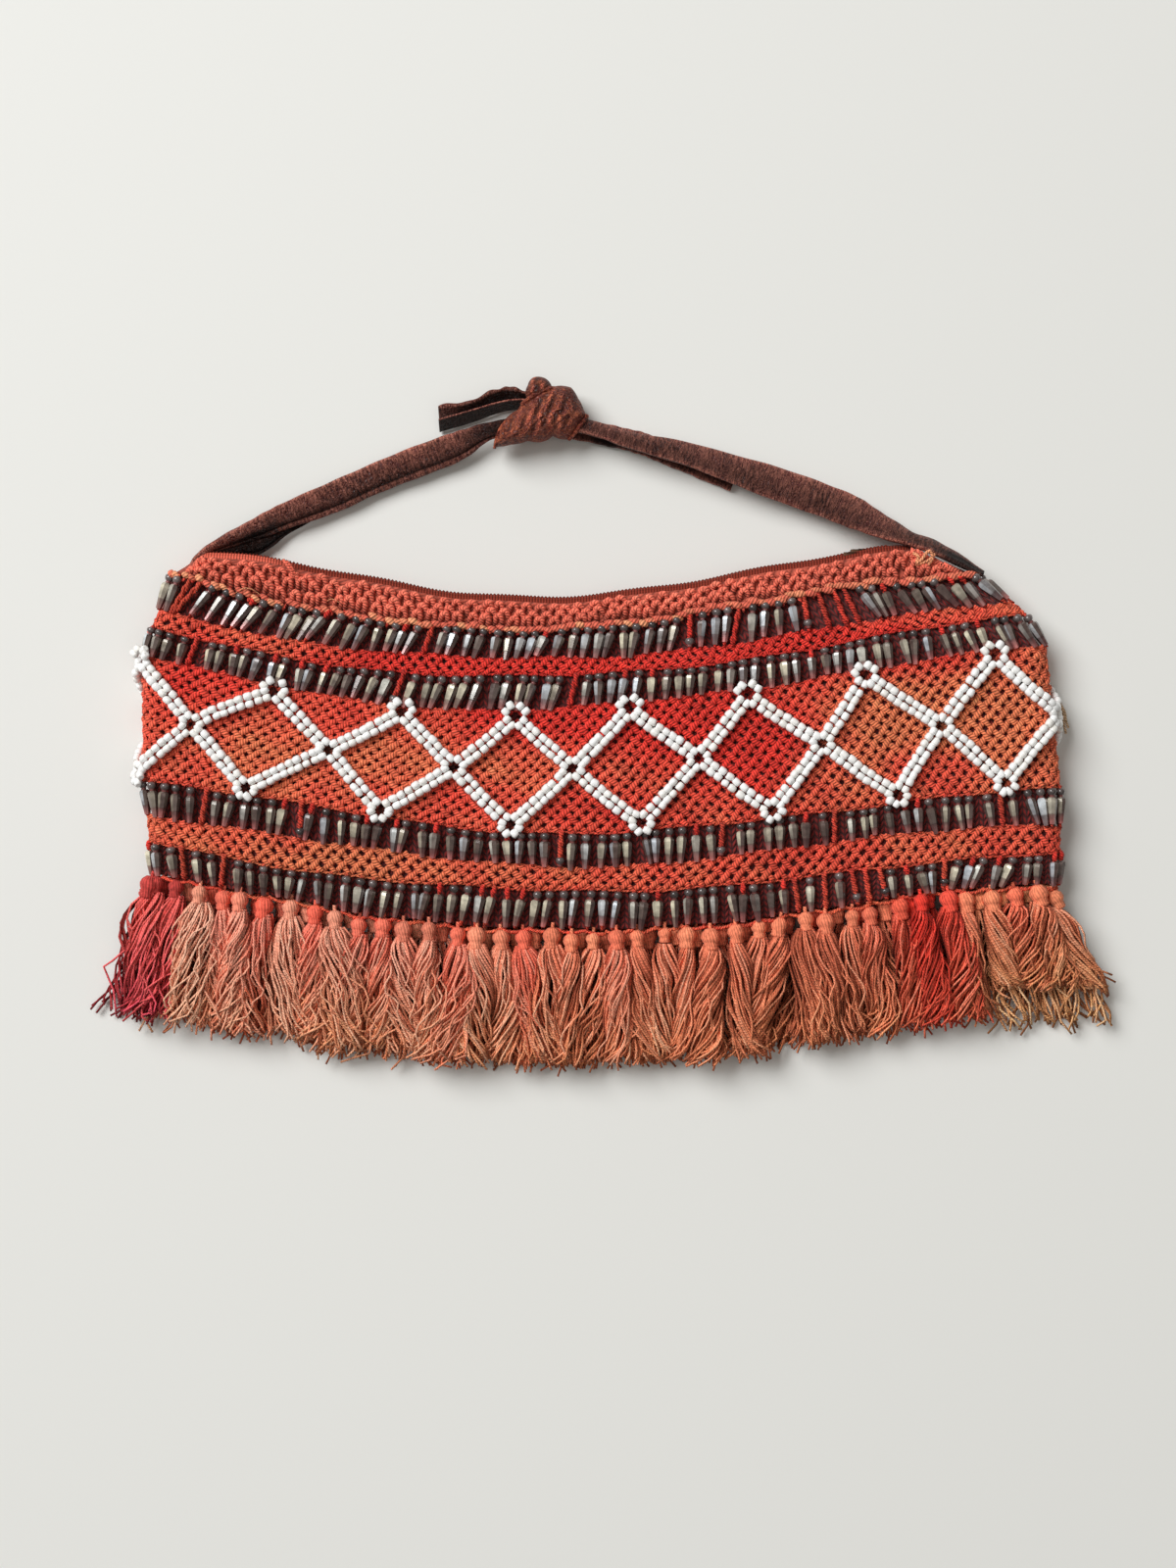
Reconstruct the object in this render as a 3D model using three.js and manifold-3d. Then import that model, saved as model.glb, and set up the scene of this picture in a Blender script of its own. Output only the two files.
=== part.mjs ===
// A crocheted shoulder bag lying on its back on the plane z = 0, with its mouth towards +Y.
// A lining pouch sits inside a netted tube. The tube is three net bands with windows between them, and a row
// of glass drops hangs in each window. White beads make a lattice on the widest band, tassels hang from the
// hem, a crocheted band and a zip close the mouth, and two leather straps are knotted above it.
// Sizes are millimetres.
import * as THREE from "three";
import { mergeVertices } from "three/addons/utils/BufferGeometryUtils.js";
import Module from "manifold-3d";

const wasm = await Module();
wasm.setup();

// Clearance between pieces that touch on the real bag, and the walls from the outside in.
const GAP = 0.3;
const BEAD_HEIGHT = 2.8;
const NET_WALL = 1.8;
const LINING_WALL = 1.3;
const BAND_WALL = 3.0;
const BAND_PROUD = 1.2;
const ZIP_WALL = 1.0;

// Offsets are measured outwards from the outer face of the net.
const LINING_OFFSET = -(NET_WALL + GAP);
const ZIP_OFFSET = BAND_PROUD - BAND_WALL - GAP;
const LATTICE_OFFSET = 0.5;

// The back of the net lies on its own beads.
const BACK_Z = BEAD_HEIGHT + LATTICE_OFFSET;
const LINING_SEAM_Z = 8.8;

// The centre of the whole bag's outline, which becomes the origin.
const ORIGIN = { x: 0.145, y: 0.48 };

// One row for each course, from the mouth to the hem. Columns: the silhouette's left and right in x, the
// thickness at the side folds, how much thicker the middle is, and five heights in y from left to right.
const COURSES = {
  mouth: {
    left: -150.5, right: 117.5, side: 11, crown: 0.5,
    y0: 62.5, y1: 51.7, y2: 45.5, y3: 53.5, y4: 65.3,
  },
  bandBottom: {
    left: -158.5, right: 139, side: 12, crown: 1,
    y0: 57.6, y1: 39.6, y2: 36.9, y3: 46.8, y4: 56,
  },
  upperTop: {
    left: -163.4, right: 152, side: 12.5, crown: 1.5,
    y0: 43, y1: 27.9, y2: 25.4, y3: 34, y4: 46.2,
  },
  upperBottom: {
    left: -166, right: 156.5, side: 13, crown: 2,
    y0: 36.5, y1: 21.8, y2: 19.4, y3: 29, y4: 41.2,
  },
  mainTop: {
    left: -169.4, right: 164.4, side: 13.5, crown: 2.5,
    y0: 27.2, y1: 9.2, y2: 7.2, y3: 18.2, y4: 29.4,
  },
  mainBottom: {
    left: -169.6, right: 169.6, side: 14, crown: 3,
    y0: -18.9, y1: -32.2, y2: -38.3, y3: -30.4, y4: -22.7,
  },
  lowerTop: {
    left: -167.8, right: 169.6, side: 13.5, crown: 2.5,
    y0: -32.2, y1: -45.2, y2: -50.9, y3: -42.7, y4: -36.5,
  },
  lowerBottom: {
    left: -167, right: 169.6, side: 13, crown: 2,
    y0: -41.6, y1: -55.4, y2: -59.6, y3: -53.8, y4: -45.2,
  },
  hem: {
    left: -166, right: 169, side: 12, crown: 1.5,
    y0: -54.9, y1: -68.6, y2: -74.3, y3: -65.9, y4: -58.5,
  },
};
const HEIGHTS = ["y0", "y1", "y2", "y3", "y4"];

// The windows that hold the glass drops, each between two courses.
const WINDOWS = [
  { name: "drop_row_1", top: "bandBottom", bottom: "upperTop" },
  { name: "drop_row_2", top: "upperBottom", bottom: "mainTop" },
  { name: "drop_row_3", top: "mainBottom", bottom: "lowerTop" },
  { name: "drop_row_4", top: "lowerBottom", bottom: "hem" },
];
const DROP_PITCH = 5.2;
const DROP = { shoulder: 3.8, tip: 2.4, outer: 1.9, inner: -1.7, tipOffset: 0.3 };
const THREAD_REACH = 0.16;
const DROP_REACH = 0.93;

// The bead lattice: crossings along the middle of the main band, one pitch apart on the front. The apex is
// the share of the band's height at which two bars meet. Bars bend in several steps round the folds, where
// they stand a little prouder. The pattern fans out downwards: from top to bottom it slides by the lean, and
// by up to the swing towards each side.
const LATTICE = {
  width: 6.4,
  frontPitch: 45.2,
  around: 16,
  frontCrossings: 4,
  firstX: -9,
  apex: 0.11,
  lean: -2.9,
  swing: 11,
  foldSteps: 8,
  foldLift: 0.8,
};

// The hem's cord and its tassels. Columns of the profile: the share of the length, the width and the depth.
const HEM_CORD_RADIUS = 0.9;
const TASSEL_COUNT = 40;
const TASSEL_SIDES = 5;
const TASSEL_PROFILE = [
  { at: 0, width: 2, depth: 2 },
  { at: 0.07, width: 5, depth: 4.6 },
  { at: 0.16, width: 4, depth: 3.6 },
  { at: 0.45, width: 7.4, depth: 5 },
  { at: 1, width: 7.6, depth: 5.4 },
];
const TASSEL_LENGTH = { left: 52, mid: 50.5, right: 48 };
const TASSEL_LEAN = { left: -0.38, right: 0.35 };
const BACK_FRINGE = { low: 0.2, high: 5.6, scallop: 6, fromHem: 2.6 };
const FRONT_TASSEL_REST_Z = BACK_FRINGE.high + GAP + TASSEL_PROFILE.at(-1).depth / 2;

// The straps are folded leather strips. Columns: centre in x, y and z, width, and roll about the length.
const STRAP_THICKNESS = 2.4;
const STRAP_SECTIONS = 16;
const STRAPS = {
  strap_left: [
    { x: -147, y: 64, z: 9, width: 9, roll: 62 },
    { x: -136, y: 70.4, z: 8.5, width: 8, roll: 48 },
    { x: -122, y: 77.2, z: 6.5, width: 9, roll: 33 },
    { x: -100, y: 85.5, z: 5, width: 12, roll: 18 },
    { x: -86, y: 91.6, z: 4.5, width: 12.6, roll: 12 },
    { x: -71, y: 97.4, z: 4.5, width: 13, roll: 9 },
    { x: -57, y: 102.7, z: 5.5, width: 13, roll: 15 },
    { x: -43, y: 108.6, z: 7.5, width: 10.5, roll: 38 },
    { x: -30, y: 111, z: 8, width: 9, roll: 50 },
  ],
  strap_right: [
    { x: -16, y: 112.5, z: 9, width: 9, roll: -45 },
    { x: 9.5, y: 106.4, z: 8.8, width: 9, roll: -32 },
    { x: 31, y: 101.3, z: 8.4, width: 10.2, roll: -22 },
    { x: 52.7, y: 95.1, z: 8, width: 11.6, roll: -14 },
    { x: 74.3, y: 87.5, z: 7, width: 13, roll: -8 },
    { x: 88.7, y: 82.1, z: 8, width: 12.6, roll: -12 },
    { x: 103, y: 75.3, z: 10.5, width: 11, roll: -30 },
    { x: 114.5, y: 70, z: 12, width: 10.5, roll: -48 },
    { x: 122, y: 66.5, z: 12, width: 10.5, roll: -55 },
    { x: 131, y: 62.5, z: 11, width: 10, roll: -65 },
    { x: 141, y: 57.5, z: 10.5, width: 8, roll: -65 },
  ],
  strap_tail_left: [
    { x: -25, y: 121, z: 9, width: 10, roll: 15 },
    { x: -45, y: 118, z: 9.5, width: 10, roll: 30 },
    { x: -60, y: 114.5, z: 8, width: 11, roll: 35 },
  ],
  strap_tail_right: [
    { x: -14, y: 111, z: 3.6, width: 9, roll: -10 },
    { x: 12, y: 104.5, z: 2, width: 9.5, roll: 0 },
    { x: 31, y: 98, z: 1.5, width: 9.5, roll: 0 },
    { x: 50, y: 91.6, z: 1.5, width: 9.5, roll: 0 },
  ],
};

// The knot's lumps. Columns: centre, radii, and the turn about Z.
const KNOT_LUMPS = [
  { x: -22, y: 112, z: 8.6, rx: 17.5, ry: 9, rz: 8.3, turn: 28 },
  { x: -25.5, y: 122.6, z: 8.2, rx: 8, ry: 6, rz: 7, turn: -12 },
  { x: -9.5, y: 114.5, z: 7.6, rx: 6.5, ry: 8.5, rz: 7.2, turn: 20 },
];

// Zip: how far its legs go down inside the band, the roof's steps out of the mouth, and the slider.
const ZIP_LEG_SHARE = 0.6;
const ZIP_ROOF = [
  { rise: 1.4, inset: 0.6 },
  { rise: 2.6, inset: 1.9 },
];
const ZIP_SLIDER = { station: 0.88, length: 9, width: 4.2, height: 2.2 };

const MATERIALS = {
  net: new THREE.MeshStandardMaterial({ color: 0xb8472f, roughness: 0.9, metalness: 0 }),
  lining: new THREE.MeshStandardMaterial({ color: 0x4a1614, roughness: 0.95, metalness: 0 }),
  band: new THREE.MeshStandardMaterial({ color: 0xc4573f, roughness: 0.9, metalness: 0 }),
  zip: new THREE.MeshStandardMaterial({ color: 0x7a3023, roughness: 0.8, metalness: 0 }),
  slider: new THREE.MeshStandardMaterial({ color: 0x8a7a5c, roughness: 0.4, metalness: 0.9 }),
  drop: new THREE.MeshStandardMaterial({ color: 0x5c5450, roughness: 0.15, metalness: 0.2 }),
  bead: new THREE.MeshStandardMaterial({ color: 0xf2efe8, roughness: 0.25, metalness: 0 }),
  tassel: new THREE.MeshStandardMaterial({ color: 0xc06a48, roughness: 0.95, metalness: 0 }),
  leather: new THREE.MeshStandardMaterial({ color: 0x4c2a22, roughness: 0.6, metalness: 0 }),
};

// Solids and meshes

function solidOf(geometry) {
  const bare = geometry.index ? geometry.toNonIndexed() : geometry.clone();
  bare.deleteAttribute("normal");
  bare.deleteAttribute("uv");
  const merged = mergeVertices(bare, 1e-4);
  const mesh = new wasm.Mesh({
    numProp: 3,
    vertProperties: merged.attributes.position.array,
    triVerts: new Uint32Array(merged.index.array),
  });
  return new wasm.Manifold(mesh);
}

function geometryOf(solid) {
  const mesh = solid.getMesh();
  const geometry = new THREE.BufferGeometry();
  geometry.setAttribute("position", new THREE.BufferAttribute(mesh.vertProperties, 3));
  geometry.setIndex(new THREE.BufferAttribute(mesh.triVerts, 1));
  return geometry;
}

function largestBody(solid) {
  return solid.decompose().reduce((best, body) => (body.volume() > best.volume() ? body : best));
}

function piece(name, geometry, material) {
  geometry.computeVertexNormals();
  const mesh = new THREE.Mesh(geometry, material);
  mesh.name = name;
  return mesh;
}

// Triangles that fill a ring of points by joining its two sides across.
function fillAcross(count) {
  const faces = [];
  let low = 0;
  let high = count - 1;
  while (high - low > 1) {
    faces.push([low, low + 1, high]);
    low += 1;
    if (high - low > 1) faces.push([low, high - 1, high]);
    high -= 1;
  }
  return faces;
}

function signedVolume(positions, triangles) {
  const corner = (index) => new THREE.Vector3().fromArray(positions, 3 * index);
  let sum = 0;
  for (const [a, b, c] of triangles) sum += corner(a).dot(corner(b).cross(corner(c))) / 6;
  return sum;
}

// Joins rings of equally many points into one closed skin that faces out. A looped skin joins its last ring
// to its first, and any other has its two end rings filled.
function loft(rings, looped = false) {
  const count = rings[0].length;
  const triangles = [];
  const spans = looped ? rings.length : rings.length - 1;
  for (let span = 0; span < spans; span++) {
    const here = span * count;
    const next = ((span + 1) % rings.length) * count;
    for (let i = 0; i < count; i++) {
      const j = (i + 1) % count;
      triangles.push([here + i, here + j, next + j], [here + i, next + j, next + i]);
    }
  }
  if (!looped) {
    const last = (rings.length - 1) * count;
    for (const [a, b, c] of fillAcross(count)) triangles.push([a, c, b], [last + a, last + b, last + c]);
  }
  const positions = rings.flat().flatMap((point) => point.toArray());
  const faces = signedVolume(positions, triangles) < 0 ? triangles.map(([a, b, c]) => [a, c, b]) : triangles;
  const geometry = new THREE.BufferGeometry();
  geometry.setAttribute("position", new THREE.Float32BufferAttribute(positions, 3));
  geometry.setIndex(faces.flat());
  return geometry;
}

// The bag's surface

function mixCourses(a, b, share) {
  const columns = Object.keys(a).map((key) => [key, THREE.MathUtils.lerp(a[key], b[key], share)]);
  return Object.fromEntries(columns);
}

function shifted(course, rise) {
  return { ...course, ...Object.fromEntries(HEIGHTS.map((key) => [key, course[key] + rise])) };
}

// Radius of the side fold, half the flat front, length of one fold and length all round.
function measures(course) {
  const fold = course.side / 2;
  const flat = (course.right - course.left) / 2 - fold;
  const arc = Math.PI * fold;
  return { fold, flat, arc, around: 4 * flat + 2 * arc };
}

// A course sags along one smooth curve through its five heights.
function courseHeight(course, x) {
  const place = ((HEIGHTS.length - 1) * (x - course.left)) / (course.right - course.left);
  return HEIGHTS.reduce((sum, key, own) => {
    const others = HEIGHTS.map((_, other) => (other === own ? 1 : (place - other) / (own - other)));
    return sum + course[key] * others.reduce((product, factor) => product * factor);
  }, 0);
}

// A station tells how far round a course a point lies, the same for all courses: the front runs from -1 to 1,
// the right fold from 1 to 2, the back from 2 to 4 and the left fold from 4 to 5, which is also -1.
const STATIONS_ROUND = 6;

function surfacePoint(course, station, offset) {
  const { fold, flat } = measures(course);
  const wrapped = station - STATIONS_ROUND * Math.round(station / STATIONS_ROUND);
  const side = Math.sign(wrapped) || 1;
  const far = Math.abs(wrapped);
  let x = far * flat;
  let z = fold + course.crown * (1 - far * far) + offset;
  if (far > 2) {
    x = (3 - far) * flat;
    z = -(fold + offset);
  } else if (far > 1) {
    const angle = Math.PI * (1.5 - far);
    x = flat + (fold + offset) * Math.cos(angle);
    z = (fold + offset) * Math.sin(angle);
  }
  const across = (course.left + course.right) / 2 + side * x;
  return new THREE.Vector3(across, courseHeight(course, across), BACK_Z + fold + z);
}

// The station at a distance round a course from the middle of its front, going right.
function stationAt(course, distance) {
  const { flat, arc, around } = measures(course);
  const wrapped = distance - around * Math.round(distance / around);
  const side = Math.sign(wrapped) || 1;
  const far = Math.abs(wrapped);
  if (far <= flat) return wrapped / flat;
  if (far <= flat + arc) return side * (1 + (far - flat) / arc);
  return side * (2 + (far - flat - arc) / flat);
}

const FRONT_STEPS = 20;
const FOLD_STEPS = 4;

// Stations of one ring of points, from the left fold over the front to the back.
const RING_STOPS = [
  { from: -1.5, to: -1, steps: FOLD_STEPS / 2 },
  { from: -1, to: 1, steps: FRONT_STEPS },
  { from: 1, to: 2, steps: FOLD_STEPS },
  { from: 2, to: 4, steps: FRONT_STEPS },
  { from: 4, to: 4.5, steps: FOLD_STEPS / 2 },
];

function evenSteps({ from, to, steps }) {
  return Array.from({ length: steps }, (_, i) => from + ((to - from) * i) / steps);
}

const RING_STATIONS = RING_STOPS.flatMap(evenSteps);

function ringOf(course, offset) {
  return RING_STATIONS.map((station) => surfacePoint(course, station, offset));
}

// A wall right round the bag through several courses.
function wallRound(courses, offset, wall) {
  const outer = courses.map((course) => ringOf(course, offset));
  const inner = courses.map((course) => ringOf(course, offset - wall));
  return loft([...outer, ...inner.reverse()], true);
}

// The pieces of the bag

function lining() {
  const top = shifted(mixCourses(COURSES.mouth, COURSES.bandBottom, ZIP_LEG_SHARE), -2 * GAP);
  const { upperTop, upperBottom, mainTop, mainBottom, lowerTop, lowerBottom, hem } = COURSES;
  const round = 2.4;
  const side = [top, upperTop, upperBottom, mainTop, mainBottom, lowerTop, lowerBottom, shifted(hem, round)];
  const outer = [ringOf(hem, LINING_OFFSET - round)];
  outer.push(...[...side].reverse().map((course) => ringOf(course, LINING_OFFSET)));
  const inside = LINING_OFFSET - LINING_WALL;
  const inner = side.map((course) => ringOf(course, inside));
  inner.push(ringOf(shifted(hem, LINING_WALL), inside - round / 2));
  return loft([...outer, ...inner]);
}

// The pouch is two panels, seamed along the sides and the bottom at one height.
function liningPanels() {
  const pouch = solidOf(lining());
  return {
    lining_front: geometryOf(pouch.trimByPlane([0, 0, 1], LINING_SEAM_Z + GAP / 2)),
    lining_back: geometryOf(pouch.trimByPlane([0, 0, -1], GAP / 2 - LINING_SEAM_Z)),
  };
}

function zipTape() {
  const legs = mixCourses(COURSES.mouth, COURSES.bandBottom, ZIP_LEG_SHARE);
  const roof = ZIP_ROOF.map(({ rise, inset }) => ({ course: shifted(COURSES.mouth, rise), inset }));
  const outer = [ringOf(legs, ZIP_OFFSET), ringOf(COURSES.mouth, ZIP_OFFSET)];
  outer.push(...roof.map(({ course, inset }) => ringOf(course, ZIP_OFFSET - inset)));
  const inside = ZIP_OFFSET - ZIP_WALL;
  const ridge = ZIP_ROOF.at(-1);
  const inner = [ringOf(shifted(COURSES.mouth, ridge.rise - ZIP_WALL), inside - ridge.inset)];
  inner.push(ringOf(COURSES.mouth, inside), ringOf(legs, inside));
  return loft([...outer.reverse(), ...inner.reverse()]);
}

function zipSlider() {
  const seat = surfacePoint(shifted(COURSES.mouth, ZIP_ROOF.at(-1).rise + GAP), ZIP_SLIDER.station, 0);
  const before = surfacePoint(COURSES.mouth, ZIP_SLIDER.station - 0.01, 0);
  const after = surfacePoint(COURSES.mouth, ZIP_SLIDER.station + 0.01, 0);
  const geometry = new THREE.BoxGeometry(ZIP_SLIDER.length, ZIP_SLIDER.height, ZIP_SLIDER.width);
  const mesh = piece("zip_slider", geometry, MATERIALS.slider);
  mesh.rotation.z = Math.atan2(after.y - before.y, after.x - before.x);
  const middle = BACK_Z + COURSES.mouth.side / 2;
  mesh.position.set(seat.x, seat.y + ZIP_SLIDER.height / 2 + GAP, middle);
  return mesh;
}

// One window's drops on their thread. The front shows each drop, and the folds and the back, which lie
// hidden, are one plain strip as deep as the drops.
function dropRow({ top, bottom }) {
  const upper = shifted(COURSES[top], -GAP);
  const lower = COURSES[bottom];
  const section = (station, reach) => [
    surfacePoint(upper, station, DROP.outer),
    surfacePoint(mixCourses(upper, lower, reach), station, DROP.tipOffset),
    surfacePoint(upper, station, DROP.inner),
  ];
  const rings = [];
  const { flat } = measures(upper);
  const each = Math.floor((flat - DROP.shoulder) / DROP_PITCH);
  for (let drop = -each; drop <= each; drop++) {
    const middle = drop * DROP_PITCH;
    const strung = (distance, reach) => section(stationAt(upper, middle + distance), reach);
    rings.push(strung(-DROP.shoulder / 2, THREAD_REACH), strung(-DROP.tip / 2, DROP_REACH));
    rings.push(strung(DROP.tip / 2, DROP_REACH), strung(DROP.shoulder / 2, THREAD_REACH));
  }
  const plain = [
    { from: 1, to: 2, steps: FOLD_STEPS },
    { from: 2, to: 4, steps: FRONT_STEPS },
    { from: 4, to: 5.25, steps: FOLD_STEPS + 1 },
  ];
  for (const station of plain.flatMap(evenSteps)) rings.push(section(station, DROP_REACH));
  return loft(rings, true);
}

// Crossings stand one pitch apart on the front and share out what is left on the back.
function crossingPlace(index) {
  const { around } = measures(mixCourses(COURSES.mainTop, COURSES.mainBottom, 0.5));
  const front = LATTICE.frontCrossings;
  const backPitch = (around - 2 * front * LATTICE.frontPitch) / (LATTICE.around - 2 * front);
  if (index <= front) return LATTICE.firstX + index * LATTICE.frontPitch;
  return LATTICE.firstX + front * LATTICE.frontPitch + (index - front) * backPitch;
}

// The lattice is a closed chain of diamonds. Each bar lies between two rails, given as distance round the
// band and share of its height, and has a top, an underside and two sides.
function beadLattice() {
  const { mainTop, mainBottom } = COURSES;
  const middle = mixCourses(mainTop, mainBottom, 0.5);
  const { around } = measures(middle);
  const bandHeight = mainTop.y2 - mainBottom.y2;
  const corners = [];
  const at = ({ s, t }, offset) => {
    const slide = LATTICE.lean + LATTICE.swing * Math.sin((2 * Math.PI * s) / around);
    const station = stationAt(middle, s + slide * (t - 0.5));
    const onFold = THREE.MathUtils.clamp(Math.abs(station) - 1, 0, 1);
    const lift = LATTICE_OFFSET + LATTICE.foldLift * Math.sin(Math.PI * onFold) ** 2;
    return surfacePoint(mixCourses(mainTop, mainBottom, t), station, lift + offset);
  };
  const quad = (...places) => {
    const [a, b, c, d] = places;
    corners.push(a, b, c, a, c, d);
  };
  const sheet = ([a, b, c, d]) => {
    quad(...[a, b, c, d].map((place) => at(place, BEAD_HEIGHT)));
    quad(...[a, d, c, b].map((place) => at(place, 0)));
  };
  const mix = (a, b, share) => ({
    s: THREE.MathUtils.lerp(a.s, b.s, share),
    t: THREE.MathUtils.lerp(a.t, b.t, share),
  });
  const onFlat = (place) => {
    const station = Math.abs(stationAt(middle, place.s));
    return station < 1 || station > 2;
  };
  const bar = (left, right) => {
    const straight = [...left, ...right].every(onFlat);
    const steps = straight ? 1 : LATTICE.foldSteps;
    for (let i = 0; i < steps; i++) {
      const [l0, l1] = [i, i + 1].map((step) => mix(left[0], left[1], step / steps));
      const [r0, r1] = [i, i + 1].map((step) => mix(right[0], right[1], step / steps));
      sheet([r0, r1, l1, l0]);
      quad(at(l0, BEAD_HEIGHT), at(l1, BEAD_HEIGHT), at(l1, 0), at(l0, 0));
      quad(at(r1, BEAD_HEIGHT), at(r0, BEAD_HEIGHT), at(r0, 0), at(r1, 0));
    }
  };
  const slope = Math.atan2((0.5 - LATTICE.apex) * bandHeight, LATTICE.frontPitch / 2);
  const up = LATTICE.width / 2 / Math.cos(slope) / bandHeight;
  const out = LATTICE.width / 2 / Math.sin(slope);
  const first = -LATTICE.frontCrossings;
  for (let index = first; index < first + LATTICE.around; index++) {
    const here = crossingPlace(index);
    const next = crossingPlace(index + 1);
    const between = (here + next) / 2;
    const notch = { s: here, t: 0.5 - up };
    const under = { s: here, t: 0.5 + up };
    const inside = { s: here + out, t: 0.5 };
    const nextNotch = { s: next, t: 0.5 - up };
    const nextUnder = { s: next, t: 0.5 + up };
    const nextInside = { s: next - out, t: 0.5 };
    const [high, highInside] = [-up, up].map((share) => ({ s: between, t: LATTICE.apex + share }));
    const [lowInside, low] = [-up, up].map((share) => ({ s: between, t: 1 - LATTICE.apex + share }));
    sheet([under, inside, notch, { s: here - out, t: 0.5 }]);
    bar([notch, high], [inside, highInside]);
    bar([high, nextNotch], [highInside, nextInside]);
    bar([inside, lowInside], [under, low]);
    bar([lowInside, nextInside], [low, nextUnder]);
  }
  const geometry = new THREE.BufferGeometry().setFromPoints(corners);
  return mergeVertices(geometry, 1e-3);
}

function hemCord() {
  const course = shifted(COURSES.hem, -GAP - HEM_CORD_RADIUS);
  const offset = -HEM_CORD_RADIUS;
  const r = HEM_CORD_RADIUS;
  const up = new THREE.Vector3(0, r, 0);
  const rings = RING_STATIONS.map((station) => [
    surfacePoint(course, station, offset).add(up),
    surfacePoint(course, station, offset + r),
    surfacePoint(course, station, offset).sub(up),
    surfacePoint(course, station, offset - r),
  ]);
  return loft(rings, true);
}

// Tassels fan out towards the two ends of the hem.
function tasselFan(u) {
  const end = u < 0 ? "left" : "right";
  const reach = Math.abs(u);
  return {
    lean: TASSEL_LEAN[end] * reach ** 3,
    length: THREE.MathUtils.lerp(TASSEL_LENGTH.mid, TASSEL_LENGTH[end], reach),
  };
}

function tassel(index) {
  const course = shifted(COURSES.hem, -2 * GAP - 2 * HEM_CORD_RADIUS);
  const { flat, arc } = measures(course);
  const reach = flat + arc / 2;
  const s = -reach + ((index + 0.5) * 2 * reach) / TASSEL_COUNT;
  const head = surfacePoint(course, stationAt(course, s), -HEM_CORD_RADIUS);
  const { lean, length } = tasselFan(s / reach);
  const rings = TASSEL_PROFILE.map(({ at, width, depth }) => {
    const settle = THREE.MathUtils.smoothstep(at, 0, 0.7);
    const x = head.x + lean * length * at;
    const y = head.y - length * at;
    const z = THREE.MathUtils.lerp(head.z, FRONT_TASSEL_REST_Z, settle);
    return Array.from({ length: TASSEL_SIDES }, (_, corner) => {
      const angle = (2 * Math.PI * (corner + 0.25)) / TASSEL_SIDES;
      return new THREE.Vector3(x + (width / 2) * Math.cos(angle), y, z + (depth / 2) * Math.sin(angle));
    });
  });
  return loft(rings);
}

// The tassels of the back lie under the front ones and are one scalloped solid.
function backFringe() {
  const course = shifted(COURSES.hem, -BACK_FRINGE.fromHem);
  const left = COURSES.hem.left + COURSES.hem.side / 2;
  const right = COURSES.hem.right - COURSES.hem.side / 2;
  const rings = [];
  for (let i = 0; i <= 2 * TASSEL_COUNT; i++) {
    const u = i / TASSEL_COUNT - 1;
    const x = (left + right) / 2 + (u * (right - left)) / 2;
    const top = courseHeight(course, x);
    const { lean, length } = tasselFan(u);
    const drop = length - (i % 2 ? 0 : BACK_FRINGE.scallop);
    rings.push([
      new THREE.Vector3(x, top, BACK_FRINGE.low),
      new THREE.Vector3(x + lean * drop, top - drop, BACK_FRINGE.low),
      new THREE.Vector3(x + lean * drop, top - drop, BACK_FRINGE.high),
      new THREE.Vector3(x, top, BACK_FRINGE.high),
    ]);
  }
  return loft(rings);
}

function knotSolid(grow) {
  const lumps = KNOT_LUMPS.map(({ x, y, z, rx, ry, rz, turn }) => {
    const lump = new THREE.SphereGeometry(1, 10, 7);
    lump.scale(rx + grow, ry + grow, rz + grow);
    lump.rotateZ(THREE.MathUtils.degToRad(turn));
    lump.translate(x, y, z);
    return solidOf(lump);
  });
  return wasm.Manifold.union(lumps);
}

// Everything inside the mouth band, the zip and the first drops, grown by one gap, which the straps clear.
function mouthSolid() {
  const { mouth, bandBottom, upperTop } = COURSES;
  const high = shifted(mouth, GAP);
  const clear = 2 * GAP;
  const roof = ZIP_ROOF.map(({ rise, inset }) =>
    ringOf(shifted(mouth, rise + clear), ZIP_OFFSET - inset + clear),
  );
  const bands = [high, mouth, bandBottom].map((course) => ringOf(course, BAND_PROUD + GAP));
  const drops = [shifted(bandBottom, -GAP / 2), upperTop].map((course) => ringOf(course, DROP.outer + clear));
  return solidOf(loft([...roof.reverse(), ...bands, ...drops]));
}

// A strip with a flat section along the rows of a strap table.
function strap(rows) {
  const path = new THREE.CatmullRomCurve3(rows.map(({ x, y, z }) => new THREE.Vector3(x, y, z)));
  const rings = [];
  for (let i = 0; i <= STRAP_SECTIONS; i++) {
    const place = (i / STRAP_SECTIONS) * (rows.length - 1);
    const row = Math.min(Math.floor(place), rows.length - 2);
    const share = place - row;
    const width = THREE.MathUtils.lerp(rows[row].width, rows[row + 1].width, share);
    const roll = THREE.MathUtils.degToRad(THREE.MathUtils.lerp(rows[row].roll, rows[row + 1].roll, share));
    const centre = path.getPoint(i / STRAP_SECTIONS);
    const along = path.getTangent(i / STRAP_SECTIONS).normalize();
    const across = new THREE.Vector3(-along.y, along.x, 0).normalize().applyAxisAngle(along, roll);
    const through = along.clone().cross(across).setLength(STRAP_THICKNESS / 2);
    across.setLength(width / 2);
    rings.push([
      centre.clone().add(across).add(through),
      centre.clone().sub(across).add(through),
      centre.clone().sub(across).sub(through),
      centre.clone().add(across).sub(through),
    ]);
  }
  return solidOf(loft(rings));
}

// The straps stop one gap short of the knot and of the mouth.
function trimmedStrap(rows) {
  return geometryOf(largestBody(strap(rows).subtract(knotSolid(GAP)).subtract(mouthSolid())));
}

// The assembly

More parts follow.
